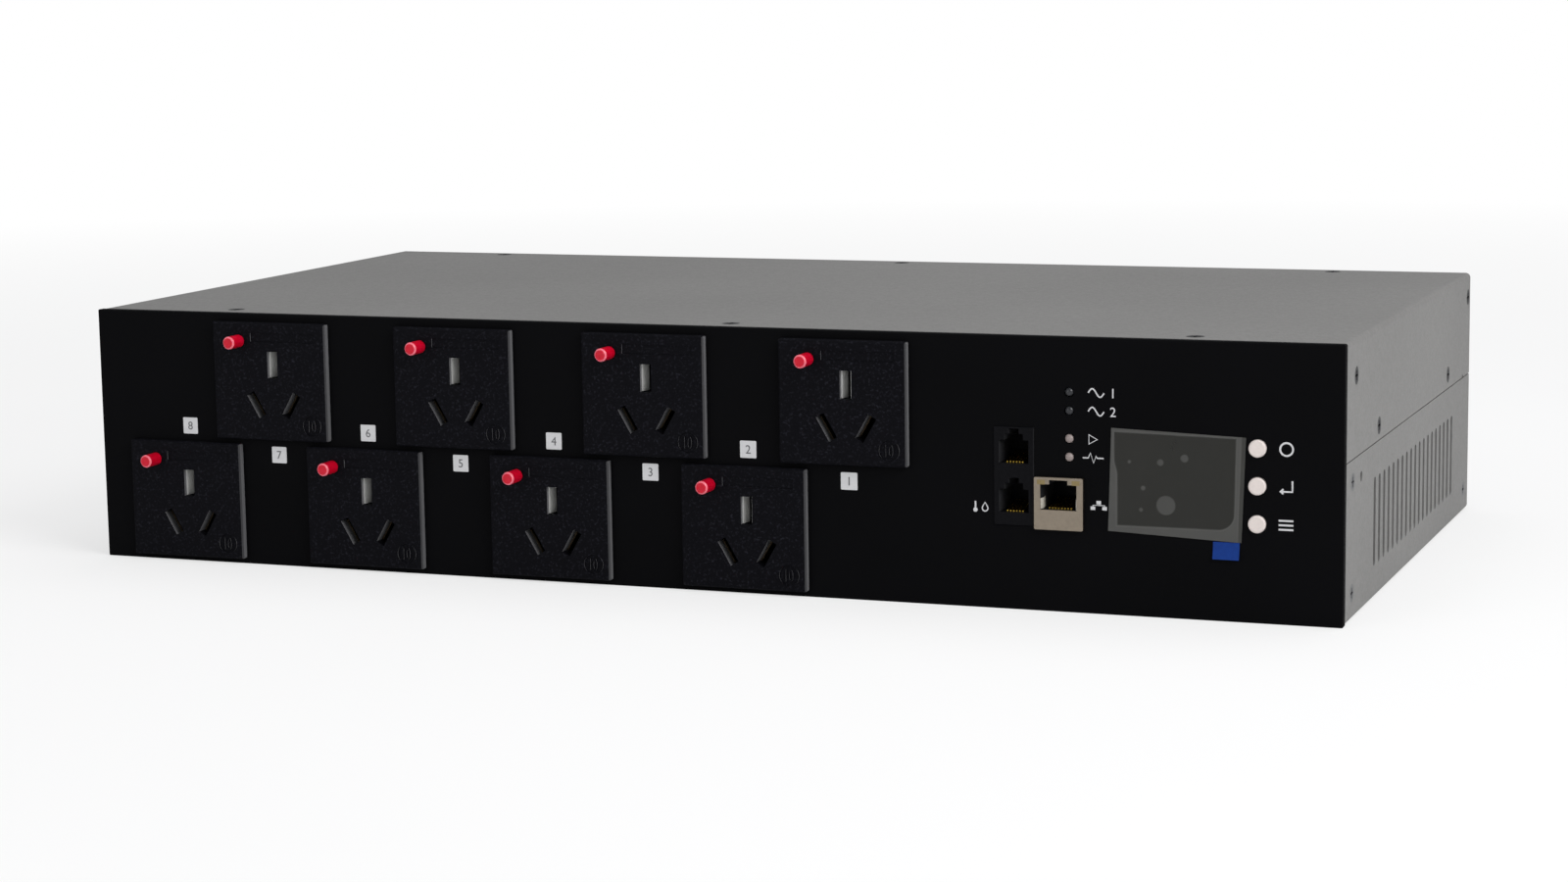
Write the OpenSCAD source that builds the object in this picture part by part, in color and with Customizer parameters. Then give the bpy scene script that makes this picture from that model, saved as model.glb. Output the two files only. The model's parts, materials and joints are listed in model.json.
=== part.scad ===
// Rack static transfer switch: eight switched outlets on the front, two mains inlets at the rear.
// +Z is up, -Y is the front, and the origin is the centre of the underside. Millimetres.

/* [Case] */
// Width of the case over its side walls
case_w = 442; // [440:1:460]
// Height of the case, two rack units
case_h = 88; // [87.5:0.5:96]
// Depth of the case from its front face to its rear wall
case_d = 230; // [226:1:300]
// Thickness of the folded steel sheet
sheet_t = 1.2; // [1:0.1:1.5]
// Outside radius of the folded corners
bend_r = 1.8; // [1.6:0.1:2.6]
// Clearance between folded sheets that slip past each other
sheet_gap = 0.15; // [0.1:0.05:0.3]
// Height of the side flanges of the cover
cover_drop = 37; // [35:0.5:39]
// Open seam under each side flange of the cover
seam_gap = 0.4; // [0.2:0.1:0.8]
// Radius of the small prying notch in each side flange
notch_r = 1.1; // [0.8:0.1:1.5]
// Distance of the prying notch from the front face
notch_y = 215.2; // [205:0.1:218]
// Forward fold round the edges of the rear wall
rear_fold = 14; // [12:0.5:16]

/* [Side vents] */
// Number of vents in each side
vent_count = 19; // [8:1:20]
// Distance between neighbouring vents
vent_pitch = 8; // [6:0.25:8.25]
// Width of a vent
vent_w = 3.3; // [2:0.1:3.8]
// Height of a vent with its round ends
vent_h = 29; // [20:0.5:31]
// Height of the middle of the vents above the underside
vent_z = 25.3; // [24:0.1:27]
// Distance of the first vent from the front face
vent_first = 49; // [42:0.5:52]

/* [Front panel] */
// Thickness of the front panel
panel_t = 3; // [2:0.5:4]
// Bevel round the front of the panel
panel_edge = 0.4; // [0.2:0.1:0.8]
// Thickness of the brackets and the rail behind the panel
bracket_t = 1.5; // [1.2:0.1:2]
// Width of a bracket's leg along the panel
bracket_w = 10; // [9:0.5:10.5]
// Depth of a bracket's leg along the side wall
bracket_d = 18; // [17:0.5:22]
// Height of a bracket
bracket_h = 45; // [43:0.5:46]
// Depth of the rail under the front edge of the cover
rail_d = 25; // [25:0.5:28]
// Height of the rail's rear fold
rail_fold = 9; // [5:0.5:10]

/* [Screws and nuts] */
// Radius of the shank of a case screw
screw_r = 1.5; // [1.25:0.05:1.6]
// Radius of the flat head of a case screw
head_r = 2.9; // [2.7:0.1:3.1]
// Length of a case screw
screw_l = 4; // [3.5:0.5:4.5]
// Clearance round a screw in its thread
thread_gap = 0.05; // [0.02:0.01:0.1]
// Distance of the bracket screws from the front face
bracket_screw_y = 13; // [11:0.5:15]
// Heights of the two bracket screws in each side
bracket_screw_z = [8.7, 43.8];
// Side screws of the cover, each as its distance from the front face and its height
cover_side_screws = [[17.3, 76.5], [55.2, 55.6], [184.5, 55.9]];
// Front screws of the cover, across from the middle
cover_front_screws = [-171.5, 15, 171.5];
// Rear screws of the cover, across from the middle
cover_rear_screws = [-171, 1.2, 171];
// Distance of the cover's front screws from the front face
cover_front_y = 11; // [8:0.5:14]
// Distance of the cover's rear screws from the rear wall
cover_rear_y = 5.6; // [5:0.1:8]
// Heights of the two rear side screws
rear_screw_z = [8.7, 79.5];
// Radius of the threaded hole for a rack ear in each side
ear_hole_r = 1.65; // [1.25:0.05:2]
// Distance of the ear hole from the front face
ear_hole_y = 26.4; // [25:0.1:30]
// Height of the ear hole above the underside
ear_hole_z = 43.5; // [42.5:0.1:44.5]
// Radius of the studs behind the panel
stud_r = 1.5; // [1.25:0.05:2]
// Length of the studs behind the panel
stud_l = 7; // [6:0.5:9]
// Distance of the studs from the sides of the panel
stud_edge = 7.6; // [6.8:0.1:8]
// Heights of the studs
stud_z = [20, 34, 80];
// Width of a stud nut across its flats
nut_w = 5.5; // [5:0.1:6]
// Thickness of a stud nut
nut_t = 2.4; // [2:0.1:3]

/* [Outlets] */
// Distance of the first outlet's middle from the left side of the case
outlet_edge = 34.5; // [34.5:0.5:37]
// Distance across from one outlet to the next
outlet_pitch = 35; // [34:0.25:36]
// Height of the middle of the lower row
lower_row_z = 22.2; // [21.4:0.1:22.6]
// Distance between the two rows
row_pitch = 42.6; // [42:0.1:42.8]
// Width of an outlet's faceplate
bezel_w = 43.8; // [42:0.1:45]
// Height of an outlet's faceplate
bezel_h = 40.8; // [39:0.1:41.2]
// Thickness of the faceplate
bezel_t = 2.5; // [2:0.1:3.5]
// Corner radius of the faceplate
bezel_r = 0.8; // [0.5:0.1:1.5]
// Bevel round the front of the faceplate
bezel_edge = 0.5; // [0.3:0.1:0.8]
// Width of the housing behind the faceplate
body_w = 38.8; // [37:0.1:39]
// Height of the housing behind the faceplate
body_h = 37; // [36:0.1:37.2]
// Depth of the housing behind the face of the panel
body_d = 24; // [20:0.5:24]
// Wall thickness of the housing
body_wall = 1.6; // [1.4:0.1:2]
// Thickness of the housing's face, where the slots are
face_t = 3.7; // [3.4:0.1:4.2]
// Clearance round the housing in the panel
outlet_gap = 0.2; // [0.1:0.05:0.25]
// How far a snap latch stands out
latch_out = 1; // [0.7:0.1:1.2]
// Length of a snap latch
latch_l = 12; // [8:0.5:14]
// Depth of a latch's ramp
latch_d = 5; // [3:0.5:6]
// Width of the slits that free a latch
slit_w = 0.9; // [0.6:0.1:1.2]
// Sideways shift of the slots from the middle of the faceplate
slot_shift = 1.3; // [0:0.1:2]
// Width of the earth slot
earth_w = 3.9; // [3.4:0.1:3.9]
// Length of the earth slot
earth_l = 9.3; // [8.5:0.1:10]
// Height of the earth slot's middle above the outlet's middle
earth_z = 5.85; // [5:0.1:7]
// Width of a live or neutral slot
pole_w = 3.1; // [2.8:0.1:3.4]
// Length of a live or neutral slot
pole_l = 9.1; // [8.5:0.1:10]
// Distance between the live and neutral slots
pole_spacing = 13.5; // [13:0.1:15.8]
// Depth of the pole slots' middle below the outlet's middle
pole_z = 8.1; // [7.5:0.1:9]
// Tilt of the pole slots from upright
pole_tilt = 30; // [25:1:35]
// Wall round each contact chamber
chamber_wall = 1.2; // [0.9:0.1:1.4]
// Depth of the shallow marks moulded into the faceplate
mark_depth = 0.3; // [0.2:0.05:0.5]
// Width of the bare name strip
strip_mark_w = 24.9; // [20:0.1:26]
// Height of the bare name strip
strip_mark_h = 3.2; // [2.5:0.1:4]
// Radius of the round rating mark
disc_mark_r = 3.5; // [3:0.1:4]

/* [Outlet lamps] */
// Radius of a lamp's lens
lens_r = 2.2; // [1.8:0.05:2.3]
// How far the lens stands out of the faceplate
lens_out = 7; // [5:0.1:9]
// Bevel round the lens's tip
lens_edge = 0.5; // [0.2:0.05:0.8]
// Radius of the lens's rear collar
collar_r = 3; // [2.7:0.05:3.1]
// Thickness of the lens's rear collar
collar_t = 1; // [0.8:0.1:1.5]
// Wall thickness of the lens
lens_wall = 0.7; // [0.5:0.05:0.9]
// Clearance round the lens
lens_gap = 0.1; // [0.05:0.05:0.2]
// Distance of the lens to the left of the faceplate's middle
lamp_left = 11.8; // [11:0.1:12.2]
// Distance of the lens above the faceplate's middle
lamp_up = 13.9; // [13:0.1:14]

/* [Contacts and busbars] */
// Thickness of a contact's leaves
leaf_t = 0.5; // [0.4:0.05:0.6]
// Gap between the leaves where they grip a pin
grip_gap = 1; // [0.8:0.05:1.1]
// Length of the contact clips
clip_l = 16; // [14:0.5:17]
// How far behind the face the earth leaves begin
earth_lead = 1.2; // [0.8:0.1:2]
// Slack over the length of a contact in its slot
contact_slack = 0.4; // [0.3:0.05:0.6]
// Radius of the shoulder that sets a contact's distance from its busbar
shoulder_r = 1.5; // [1.3:0.05:1.55]
// Radius of the tail riveted through the busbar
tail_r = 1.1; // [0.9:0.05:1.2]
// Distance of a pole contact's tail from the middle of its slot
tail_shift = 2.75; // [2.6:0.05:2.8]
// Distance from the housing to the busbars
busbar_gap = 3; // [2.5:0.1:4]
// Thickness of a busbar
busbar_t = 1; // [0.8:0.1:1.2]
// Height of a busbar
busbar_h = 4; // [3.6:0.1:4.4]
// Length of busbar beyond the last tail
busbar_end = 6; // [4:0.5:8]
// Radius of a rivet head
rivet_r = 1.7; // [1.5:0.05:1.8]
// Thickness of a rivet head
rivet_t = 0.8; // [0.5:0.1:1]

/* [Number stickers] */
// Side of a square number sticker
sticker_w = 5.7; // [5:0.1:6.5]
// Thickness of a sticker
sticker_t = 0.12; // [0.1:0.02:0.2]
// Distance of a sticker to the right of its outlet's middle
sticker_shift = 1.3; // [0:0.1:2]
// Distance from an outlet's middle to its sticker, up or down
sticker_reach = 25.8; // [25:0.1:27]

/* [Sensor jack] */
// Distance of the sensor jack's middle from the right side of the case
sensor_edge = 105.5; // [105:0.1:107]
// Width of the sensor jack
sensor_w = 13.2; // [12.8:0.1:13.4]
// Height of the sensor jack
sensor_h = 31.6; // [31.2:0.1:32]
// Bottom of the sensor jack above the underside
sensor_z = 27.3; // [27:0.1:27.5]
// How far the sensor jack stands out of the panel
sensor_out = 0.4; // [0.2:0.1:0.8]
// Depth of both jacks behind the face of the panel
jack_d = 20; // [18:0.5:24]
// Width of a sensor port
port_w = 9.8; // [9.6:0.1:10]
// Height of a sensor port without its key
port_h = 7.5; // [7.4:0.1:7.6]
// Width of the lower step of the port's key
key_w = 6.2; // [5.5:0.1:6.6]
// Height of the lower step of the port's key
key_h = 2; // [1.6:0.1:2.2]
// Width of the upper step of the port's key
key_slot_w = 3.4; // [3:0.1:3.6]
// Height of the upper step of the port's key
key_slot_h = 1.7; // [1.4:0.1:1.8]
// Depth of the ports
port_d = 14; // [13:0.5:15]
// Plastic under the lower port
port_floor = 4.1; // [3.8:0.1:4.1]
// Distance between the two sensor ports
port_pitch = 15.8; // [15.7:0.1:15.9]
// Number of contact wires in a sensor port
port_wires = 6; // [4:1:6]

/* [Network jack] */
// Distance of the network jack's middle from the right side of the case
network_edge = 90.6; // [90.4:0.1:90.7]
// Width of the network jack
network_w = 16; // [15.8:0.1:16.2]
// Height of the network jack
network_h = 16.8; // [16.6:0.1:17.2]
// How far the network jack stands out of the panel
network_out = 1.2; // [0.6:0.1:2]
// Thickness of the jack's metal shell
shell_t = 0.4; // [0.3:0.05:0.5]
// Width of the network port
net_port_w = 11.9; // [11.7:0.1:12]
// Height of the network port without its latch notch
net_port_h = 8.2; // [8:0.1:8.4]
// Plastic under the network port
net_floor = 6.4; // [6.2:0.1:6.6]
// Width of the latch notch above the network port
net_notch_w = 6; // [5.6:0.1:6.2]
// Height of the latch notch
net_notch_h = 1.4; // [1.2:0.1:1.5]
// Width of a lamp window in the network jack
net_lamp_w = 2.6; // [2:0.1:2.8]
// Height of a lamp window in the network jack
net_lamp_h = 1.5; // [1.2:0.1:1.5]
// Number of contact wires in the network port
net_wires = 8; // [6:1:8]
// Distance between neighbouring contact wires
wire_pitch = 1.02; // [1:0.01:1.1]
// Width of a contact wire
wire_w = 0.4; // [0.3:0.05:0.5]

/* [Indicators, display and keys] */
// Distance of the indicator lamps from the right side of the case
led_edge = 87.3; // [86:0.1:88]
// Radius of an indicator lamp
led_r = 1.5; // [1.4:0.05:1.6]
// How far an indicator lamp stands out of the panel
led_out = 0.7; // [0.5:0.1:1]
// Clearance round an indicator lamp
led_gap = 0.1; // [0.05:0.05:0.15]
// Heights of the two source indicators
source_led_z = [64.7, 70.6];
// Heights of the two status indicators
status_led_z = [49.9, 55.8];
// Distance of the display's middle from the right side of the case
screen_edge = 52.9; // [52:0.1:53.5]
// Height of the display's middle above the underside
screen_z = 43.4; // [43:0.1:44]
// Width of the display's window
screen_w = 38.4; // [36:0.1:39]
// Height of the display's window
screen_h = 29.6; // [28:0.1:30]
// Clearance round the window's lens
screen_gap = 0.15; // [0.1:0.05:0.2]
// Rim of the display module behind the panel
screen_rim = 2.4; // [1.5:0.1:2.5]
// Thickness of the protective film
film_t = 0.15; // [0.1:0.05:0.2]
// Width of the film's pull tab
tab_w = 8.4; // [6:0.1:9]
// Length of the film's pull tab that hangs below the film
tab_l = 5.4; // [4:0.1:7]
// Distance of the keys from the right side of the case
key_edge = 27; // [26:0.1:27]
// Heights of the function, enter and back keys
key_z = [31.4, 43.3, 55.1];
// Radius of a key cap
cap_r = 2.75; // [2.5:0.05:3]
// How far a key cap stands out of the panel
cap_out = 1.2; // [1:0.1:1.6]
// Clearance round a key cap
cap_gap = 0.25; // [0.2:0.05:0.3]
// Radius of the cap's flange behind the panel
flange_r = 3.9; // [3.7:0.1:4.2]
// Thickness of the cap's flange
flange_t = 1; // [0.8:0.1:1.2]
// Clearance between the flange and the panel
flange_gap = 0.15; // [0.1:0.05:0.2]
// Travel of a key
key_travel = 0.5; // [0.3:0.05:0.6]
// Distance from the panel to the key board
board_gap = 8; // [7.5:0.1:9]
// Side of a key switch
switch_w = 6; // [5.8:0.1:6.4]
// Height of a key switch
switch_h = 3.5; // [3.3:0.1:3.8]
// Radius of the plunger of a key switch
plunger_r = 1.6; // [1.5:0.05:1.8]
// Clearance round the plunger
plunger_gap = 0.15; // [0.1:0.05:0.2]
// How deep the plunger sits in its switch at rest
plunger_in = 1.4; // [1.2:0.1:1.6]

/* [Circuit boards] */
// Thickness of the circuit boards
board_t = 1.6; // [1.2:0.1:2]
// Radius of the round spacers that carry the boards
spacer_r = 2.5; // [2.2:0.1:3]
// Depth of the control board behind its front edge
control_d = 74; // [60:1:78]
// Distance of the control board's left edge from the right side of the case
control_edge = 121; // [120:0.5:123]
// Distance of the control board's right edge from the right side of the case
control_inset = 9; // [8:0.5:11]
// Width of the power board
power_w = 285; // [270:1:286]
// Depth of the power board
power_d = 142; // [120:1:144]
// Distance of the power board from the face of the panel
power_y = 44; // [40:0.5:46]
// Height of the spacers under the power board
power_up = 7; // [5:0.5:9]
// Distance of a board's spacers from its edges
spacer_inset = 5; // [4:0.5:7]

/* [Power stage] */
// Length of the heat sink along its fins
sink_l = 92; // [80:1:94]
// Width of the heat sink across its fins
sink_w = 98; // [98:1:104]
// Height of the heat sink
sink_h = 40; // [36:0.5:44]
// Thickness of the heat sink's base
sink_base = 6; // [5:0.5:8]
// Number of fins
fin_count = 13; // [9:1:14]
// Thickness of a fin
fin_t = 2; // [1.5:0.1:2.5]
// Distance of the heat sink from the right side of the case
sink_inset = 16; // [14:0.5:18]
// Distance of the heat sink from the face of the panel
sink_y = 95; // [93:0.5:97]
// Length of a thyristor module
module_l = 80; // [76:0.5:80]
// Width of a thyristor module
module_w = 34; // [30:0.5:36]
// Height of a thyristor module's housing
module_h = 24; // [22:0.5:28]
// Distance between the two thyristor modules
module_pitch = 46; // [44:0.5:48]
// Number of transfer relays
relay_count = 4; // [2:1:4]
// Size of a relay: width, depth and height
relay_size = [16, 30, 26];
// Distance between neighbouring relays
relay_pitch = 24; // [20:0.5:26]
// Size of a transformer's core: width, depth and height
core_size = [48, 18, 40];
// Overhang of a transformer's winding beyond its core
winding_out = 8; // [5:0.5:10]
// Distance between the two transformers
core_pitch = 70; // [60:1:80]

/* [Rear inlets] */
// Distance of the first inlet's middle from the left side of the case
inlet_edge = 71; // [60:0.5:80]
// Distance between the two inlets
inlet_pitch = 75; // [65:0.5:85]
// Height of the inlets' middle above the underside
inlet_z = 44; // [38:0.5:48]
// Width of an inlet's flange
inlet_flange_w = 58; // [56:0.5:60]
// Height of an inlet's flange
inlet_flange_h = 32; // [31:0.5:34]
// Thickness of an inlet's flange
inlet_flange_t = 2.5; // [2:0.1:3]
// Distance between an inlet's two screws
inlet_screw_pitch = 49; // [48:0.5:50]
// Width of an inlet's body
inlet_w = 37; // [36.5:0.1:38]
// Height of an inlet's body
inlet_h = 27.5; // [27:0.1:28.5]
// Depth of an inlet's body inside the case
inlet_d = 24; // [22:0.5:28]
// Width of an inlet's mouth
mouth_w = 31.5; // [31:0.1:32.5]
// Height of an inlet's mouth
mouth_h = 22.5; // [22:0.1:23.5]
// Depth of an inlet's mouth
mouth_d = 20; // [18:0.5:22]
// Width of an inlet's pins
pin_w = 8; // [7:0.1:8.5]
// Thickness of an inlet's pins
pin_t = 2; // [1.6:0.1:2.2]
// Distance of the pins' tips behind the mouth
pin_back = 2; // [1.5:0.1:4]
// Distance between an inlet's live and neutral pins
pin_pitch = 13; // [12:0.1:13.5]
// Distance of the pins above or below the inlet's middle
pin_rise = 4; // [3.5:0.1:4.2]
// Length of the pins' tails inside the case
pin_tail = 8; // [6:0.5:10]

/* [Hidden] */
$fn = 48;

eps = 0.01;
outlet_total = 8;
y_front = -case_d/2;
y_back = y_front + panel_t;      // rear face of the front panel
y_rear = case_d/2;
x_side = case_w/2;
x_wall = x_side - sheet_t;       // inner face of the tray's side
x_strip = x_wall - sheet_gap;    // outer face of the tray's upper strip
x_inner = x_strip - sheet_t;     // inner face of the tray's upper strip
seam_z = case_h - cover_drop;
cover_z = case_h - sheet_t;      // underside of the cover's top
strip_top = cover_z - bend_r - 2;
joggle_z = seam_z - seam_gap;    // top of the tray's lower sides, where they step in
board_y = y_back + board_gap;    // front face of the key board
control_z = sensor_z - 0.8;      // top face of the control board, under the jacks' feet
busbar_y = y_front + body_d + busbar_gap;

// Each slot of an outlet: across, up, width, length, tilt, and where its tail is along the slot
earth_slot = [slot_shift, earth_z, earth_w, earth_l, 0, 0];
live_slot = [slot_shift - pole_spacing/2, -pole_z, pole_w, pole_l, -pole_tilt, tail_shift];
neutral_slot = [slot_shift + pole_spacing/2, -pole_z, pole_w, pole_l, pole_tilt, -tail_shift];

// Outlets are numbered from the right, with odd numbers in the upper row
function outlet_x(n) = -x_side + outlet_edge + outlet_pitch*(outlet_total - n);
function outlet_z(n) = lower_row_z + row_pitch*(n % 2);
function tail_x(slot) = slot[0] + slot[5]*sin(slot[4]);
function tail_z(slot) = slot[1] + slot[5]*cos(slot[4]);

// ---- Shapes that repeat ----

// Rectangle with round corners, centred
module round_rect(w, h, r) {
    square([w - 2*r, h], center = true);
    square([w, h - 2*r], center = true);
    for (sx = [-1, 1], sy = [-1, 1])
        translate([sx*(w/2 - r), sy*(h/2 - r)]) circle(r);
}

// Slot with round ends, centred and upright
module round_slot(w, h) {
    square([w, h - w], center = true);
    for (s = [-1, 1]) translate([0, s*(h - w)/2]) circle(w/2);
}

// A front view extruded backwards from y over depth d
module from_front(x, z, y, d) {
    translate([x, y + d, z]) rotate([90, 0, 0]) linear_extrude(d) children();
}

// A side view, drawn as (y, z), extruded to the right from x over width w
module from_side(x, w) {
    translate([x, 0, 0]) rotate([90, 0, 90]) linear_extrude(w) children();
}

// A block of size w across, d deep and h high, centred across and on its bottom
module block(x, y, z, w, d, h) {
    translate([x - w/2, y, z]) cube([w, d, h]);
}

// A round post along +Y
module post(x, z, y, d, r) {
    translate([x, y, z]) rotate([-90, 0, 0]) cylinder(h = d, r = r);
}

// Plate of thickness t in front of y = 0, its front edges bevelled by c
module bevelled_plate(w, h, t, r, c) {
    intersection() {
        from_front(0, 0, -t, t) round_rect(w, h, r);
        from_side(-w/2, w) polygon([[0, -h/2], [c - t, -h/2], [-t, c - h/2],
                                    [-t, h/2 - c], [c - t, h/2], [0, h/2]]);
        translate([0, 0, -h/2]) linear_extrude(h)
            polygon([[-w/2, 0], [-w/2, c - t], [c - w/2, -t], [w/2 - c, -t], [w/2, c - t], [w/2, 0]]);
    }
}

// End view of a sheet folded up on both sides, its bottom at z = 0
module folded_u(w, h, t, r) {
    difference() {
        u_outline(w, h, r);
        translate([0, t]) u_outline(w - 2*t, h, r - t);
    }
}

module u_outline(w, h, r) {
    translate([-w/2, r]) square([w, h - r]);
    translate([r - w/2, 0]) square([w - 2*r, r + eps]);
    for (s = [-1, 1]) translate([s*(w/2 - r), r]) circle(r);
}

// Flat-head screw with its head level with z = 0 and its shank downwards
module flat_screw() {
    recess_w = head_r*0.22;
    recess_l = head_r*1.1;
    recess_d = sheet_t*0.7;
    difference() {
        union() {
            translate([0, 0, -sheet_t]) cylinder(h = sheet_t, r1 = screw_r, r2 = head_r);
            translate([0, 0, -screw_l]) cylinder(h = screw_l - sheet_t/2, r = screw_r);
        }
        for (turn = [0, 90]) rotate([0, 0, turn])
            translate([-recess_l/2, -recess_w/2, -recess_d]) cube([recess_l, recess_w, recess_d + eps]);
    }
}

// Countersunk hole for a flat-head screw, through the sheet and what lies behind it
module screw_hole() {
    translate([0, 0, -sheet_t]) cylinder(h = sheet_t, r1 = screw_r, r2 = head_r);
    translate([0, 0, -screw_l - 1]) cylinder(h = screw_l, r = screw_r + thread_gap);
}

// Places children with their +Z axis pointing out of the cover's top
module at_cover_top() {
    for (x = cover_front_screws) translate([x, y_front + cover_front_y, case_h]) children();
    for (x = cover_rear_screws) translate([x, y_rear - cover_rear_y, case_h]) children();
}

// Places children with their +Z axis pointing out of both sides, each place as [from front, height]
module at_sides(places) {
    for (side = [-1, 1], p = places)
        translate([side*x_side, y_front + p[0], p[1]]) rotate([0, side*90, 0]) children();
}

cover_side_places = concat(cover_side_screws, [[case_d - 4.6, rear_screw_z[1]]]);
chassis_side_places = [
    [bracket_screw_y, bracket_screw_z[0]],
    [bracket_screw_y, bracket_screw_z[1]],
    [case_d - 9.6, rear_screw_z[0]]
];

// ---- Case ----

// Bottom and both sides in one sheet, the upper sides stepped in behind the cover
module chassis_tray() {
    color("#808080")
    difference() {
        translate([0, y_rear, 0]) rotate([90, 0, 0]) linear_extrude(case_d - panel_t) {
            folded_u(case_w, joggle_z, sheet_t, bend_r);
            for (side = [-1, 1]) upper_strip(side);
        }
        for (i = [0 : vent_count - 1])
            vent_cut(y_front + vent_first + i*vent_pitch);
        at_sides(cover_side_places) screw_hole();
        at_sides(chassis_side_places) screw_hole();
        at_sides([[ear_hole_y, ear_hole_z]])
            translate([0, 0, -2*sheet_t]) cylinder(h = 3*sheet_t, r = ear_hole_r);
    }
}

// The upper part of one side, joined to the lower part by a ledge under the cover's flange
module upper_strip(side) {
    ledge_z = joggle_z - sheet_t;
    translate([side*(x_inner + x_side)/2, ledge_z + sheet_t/2])
        square([x_side - x_inner, sheet_t], center = true);
    translate([side*(x_inner + x_strip)/2, (ledge_z + strip_top)/2])
        square([sheet_t, strip_top - ledge_z], center = true);
}

module vent_cut(y) {
    translate([-x_side - 1, y, vent_z]) rotate([90, 0, 90]) linear_extrude(case_w + 2)
        round_slot(vent_w, vent_h);
}

// Folded lid, its flanges level with the lower sides
module top_cover() {
    color("#757473")
    difference() {
        translate([0, y_rear, case_h]) rotate([90, 0, 0]) linear_extrude(case_d - panel_t)
            scale([1, -1]) folded_u(case_w, cover_drop, sheet_t, bend_r);
        at_cover_top() screw_hole();
        at_sides(cover_side_places) screw_hole();
        for (side = [-1, 1])
            translate([side*x_side, y_front + notch_y, seam_z]) rotate([0, 90, 0])
                cylinder(h = 3*sheet_t, r = notch_r, center = true);
    }
}

// Black aluminium plate with every cut-out and the studs pressed in behind
module front_panel() {
    color("#0e0e0f") {
        difference() {
            translate([0, y_back, case_h/2]) bevelled_plate(case_w, case_h, panel_t, 0.6, panel_edge);
            for (n = [1 : outlet_total])
                panel_cut(outlet_x(n), outlet_z(n))
                    square([body_w + 2*outlet_gap, body_h + 2*outlet_gap], center = true);
            panel_cut(x_side - sensor_edge, sensor_z + sensor_h/2)
                square([sensor_w + 2*jack_gap, sensor_h + 2*jack_gap], center = true);
            panel_cut(x_side - network_edge, control_z + network_h/2)
                square([network_w + 2*jack_gap, network_h + 2*jack_gap], center = true);
            panel_cut(x_side - screen_edge, screen_z)
                square([screen_w + 2*screen_gap, screen_h + 2*screen_gap], center = true);
            for (z = concat(source_led_z, status_led_z))
                panel_cut(x_side - led_edge, z) circle(led_r + led_gap);
            for (z = key_z) panel_cut(x_side - key_edge, z) circle(cap_r + cap_gap);
        }
        at_studs() post(0, 0, -eps, stud_l + eps, stud_r);
    }
}

jack_gap = 0.1;

module panel_cut(x, z) {
    from_front(x, z, y_front - 1, panel_t + 2) children();
}

module at_studs() {
    for (side = [-1, 1], z = stud_z) translate([side*(x_side - stud_edge), y_back, z]) children();
}

// Rear wall with a forward fold on each edge, narrower above the seam
module rear_panel() {
    lower_w = 2*(x_wall - sheet_gap);
    upper_w = 2*(x_inner - sheet_gap);
    fold_low = joggle_z - sheet_t - sheet_gap;
    fold_high = joggle_z + sheet_gap;
    color("#7c7b7a")
    difference() {
        union() {
            block(0, y_rear - sheet_t, bend_r, lower_w, sheet_t, fold_low - bend_r);
            block(0, y_rear - sheet_t, sheet_t, upper_w, sheet_t, cover_z - sheet_t);
            for (z = [sheet_t, cover_z - sheet_t])
                block(0, y_rear - rear_fold, z, upper_w, rear_fold, sheet_t);
            for (side = [-1, 1]) {
                block(side*(lower_w - sheet_t)/2, y_rear - rear_fold, bend_r + 1,
                      sheet_t, rear_fold, fold_low - bend_r - 1);
                block(side*(upper_w - sheet_t)/2, y_rear - rear_fold, fold_high,
                      sheet_t, rear_fold, cover_z - fold_high);
            }
        }
        at_cover_top() screw_hole();
        at_sides(cover_side_places) screw_hole();
        at_sides(chassis_side_places) screw_hole();
        for (i = [0, 1]) {
            from_front(inlet_x(i), inlet_z, y_rear - 2*sheet_t, 4*sheet_t)
                square([inlet_w + 2*inlet_gap, inlet_h + 2*inlet_gap], center = true);
            at_inlet_screws(i)
                translate([0, 0, -screw_l]) cylinder(h = screw_l + 1, r = screw_r + thread_gap);
        }
    }
}

// Angles that join the front panel to the tray's sides
module panel_brackets() {
    color("#b4b6b8")
    difference() {
        for (side = [-1, 1]) scale([side, 1, 1]) translate([0, 0, sheet_t + 1]) linear_extrude(bracket_h)
            polygon([
                [x_wall, y_back], [x_wall, y_back + bracket_d], [x_wall - bracket_t, y_back + bracket_d],
                [x_wall - bracket_t, y_back + bracket_t], [x_wall - bracket_w, y_back + bracket_t],
                [x_wall - bracket_w, y_back]
            ]);
        at_studs() post(0, 0, -1, stud_l, stud_r + thread_gap);
        at_sides(chassis_side_places) screw_hole();
    }
}

// Rail under the cover's front edge, hung from the panel by a tab at each end
module top_rail() {
    rail_w = 2*(x_inner - 1);
    tab_h = cover_z - stud_z[2] + 5;
    color("#b4b6b8")
    difference() {
        union() {
            block(0, y_back, cover_z - bracket_t, rail_w, rail_d, bracket_t);
            block(0, y_back + rail_d - bracket_t, cover_z - rail_fold, rail_w, bracket_t, rail_fold);
            for (side = [-1, 1])
                block(side*(x_side - stud_edge), y_back, cover_z - tab_h, bracket_w - 1, bracket_t, tab_h);
        }
        at_cover_top() screw_hole();
        at_studs() post(0, 0, -1, stud_l, stud_r + thread_gap);
    }
}

module cover_screws() {
    color("#5e5e5e") {
        at_cover_top() flat_screw();
        at_sides(cover_side_places) flat_screw();
    }
}

// Screws of the brackets, the rear wall and the inlets
module chassis_screws() {
    color("#6a6a6a") {
        at_sides(chassis_side_places) flat_screw();
        for (i = [0, 1]) at_inlet_screws(i) translate([0, 0, inlet_flange_t]) flat_screw();
    }
}

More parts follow.
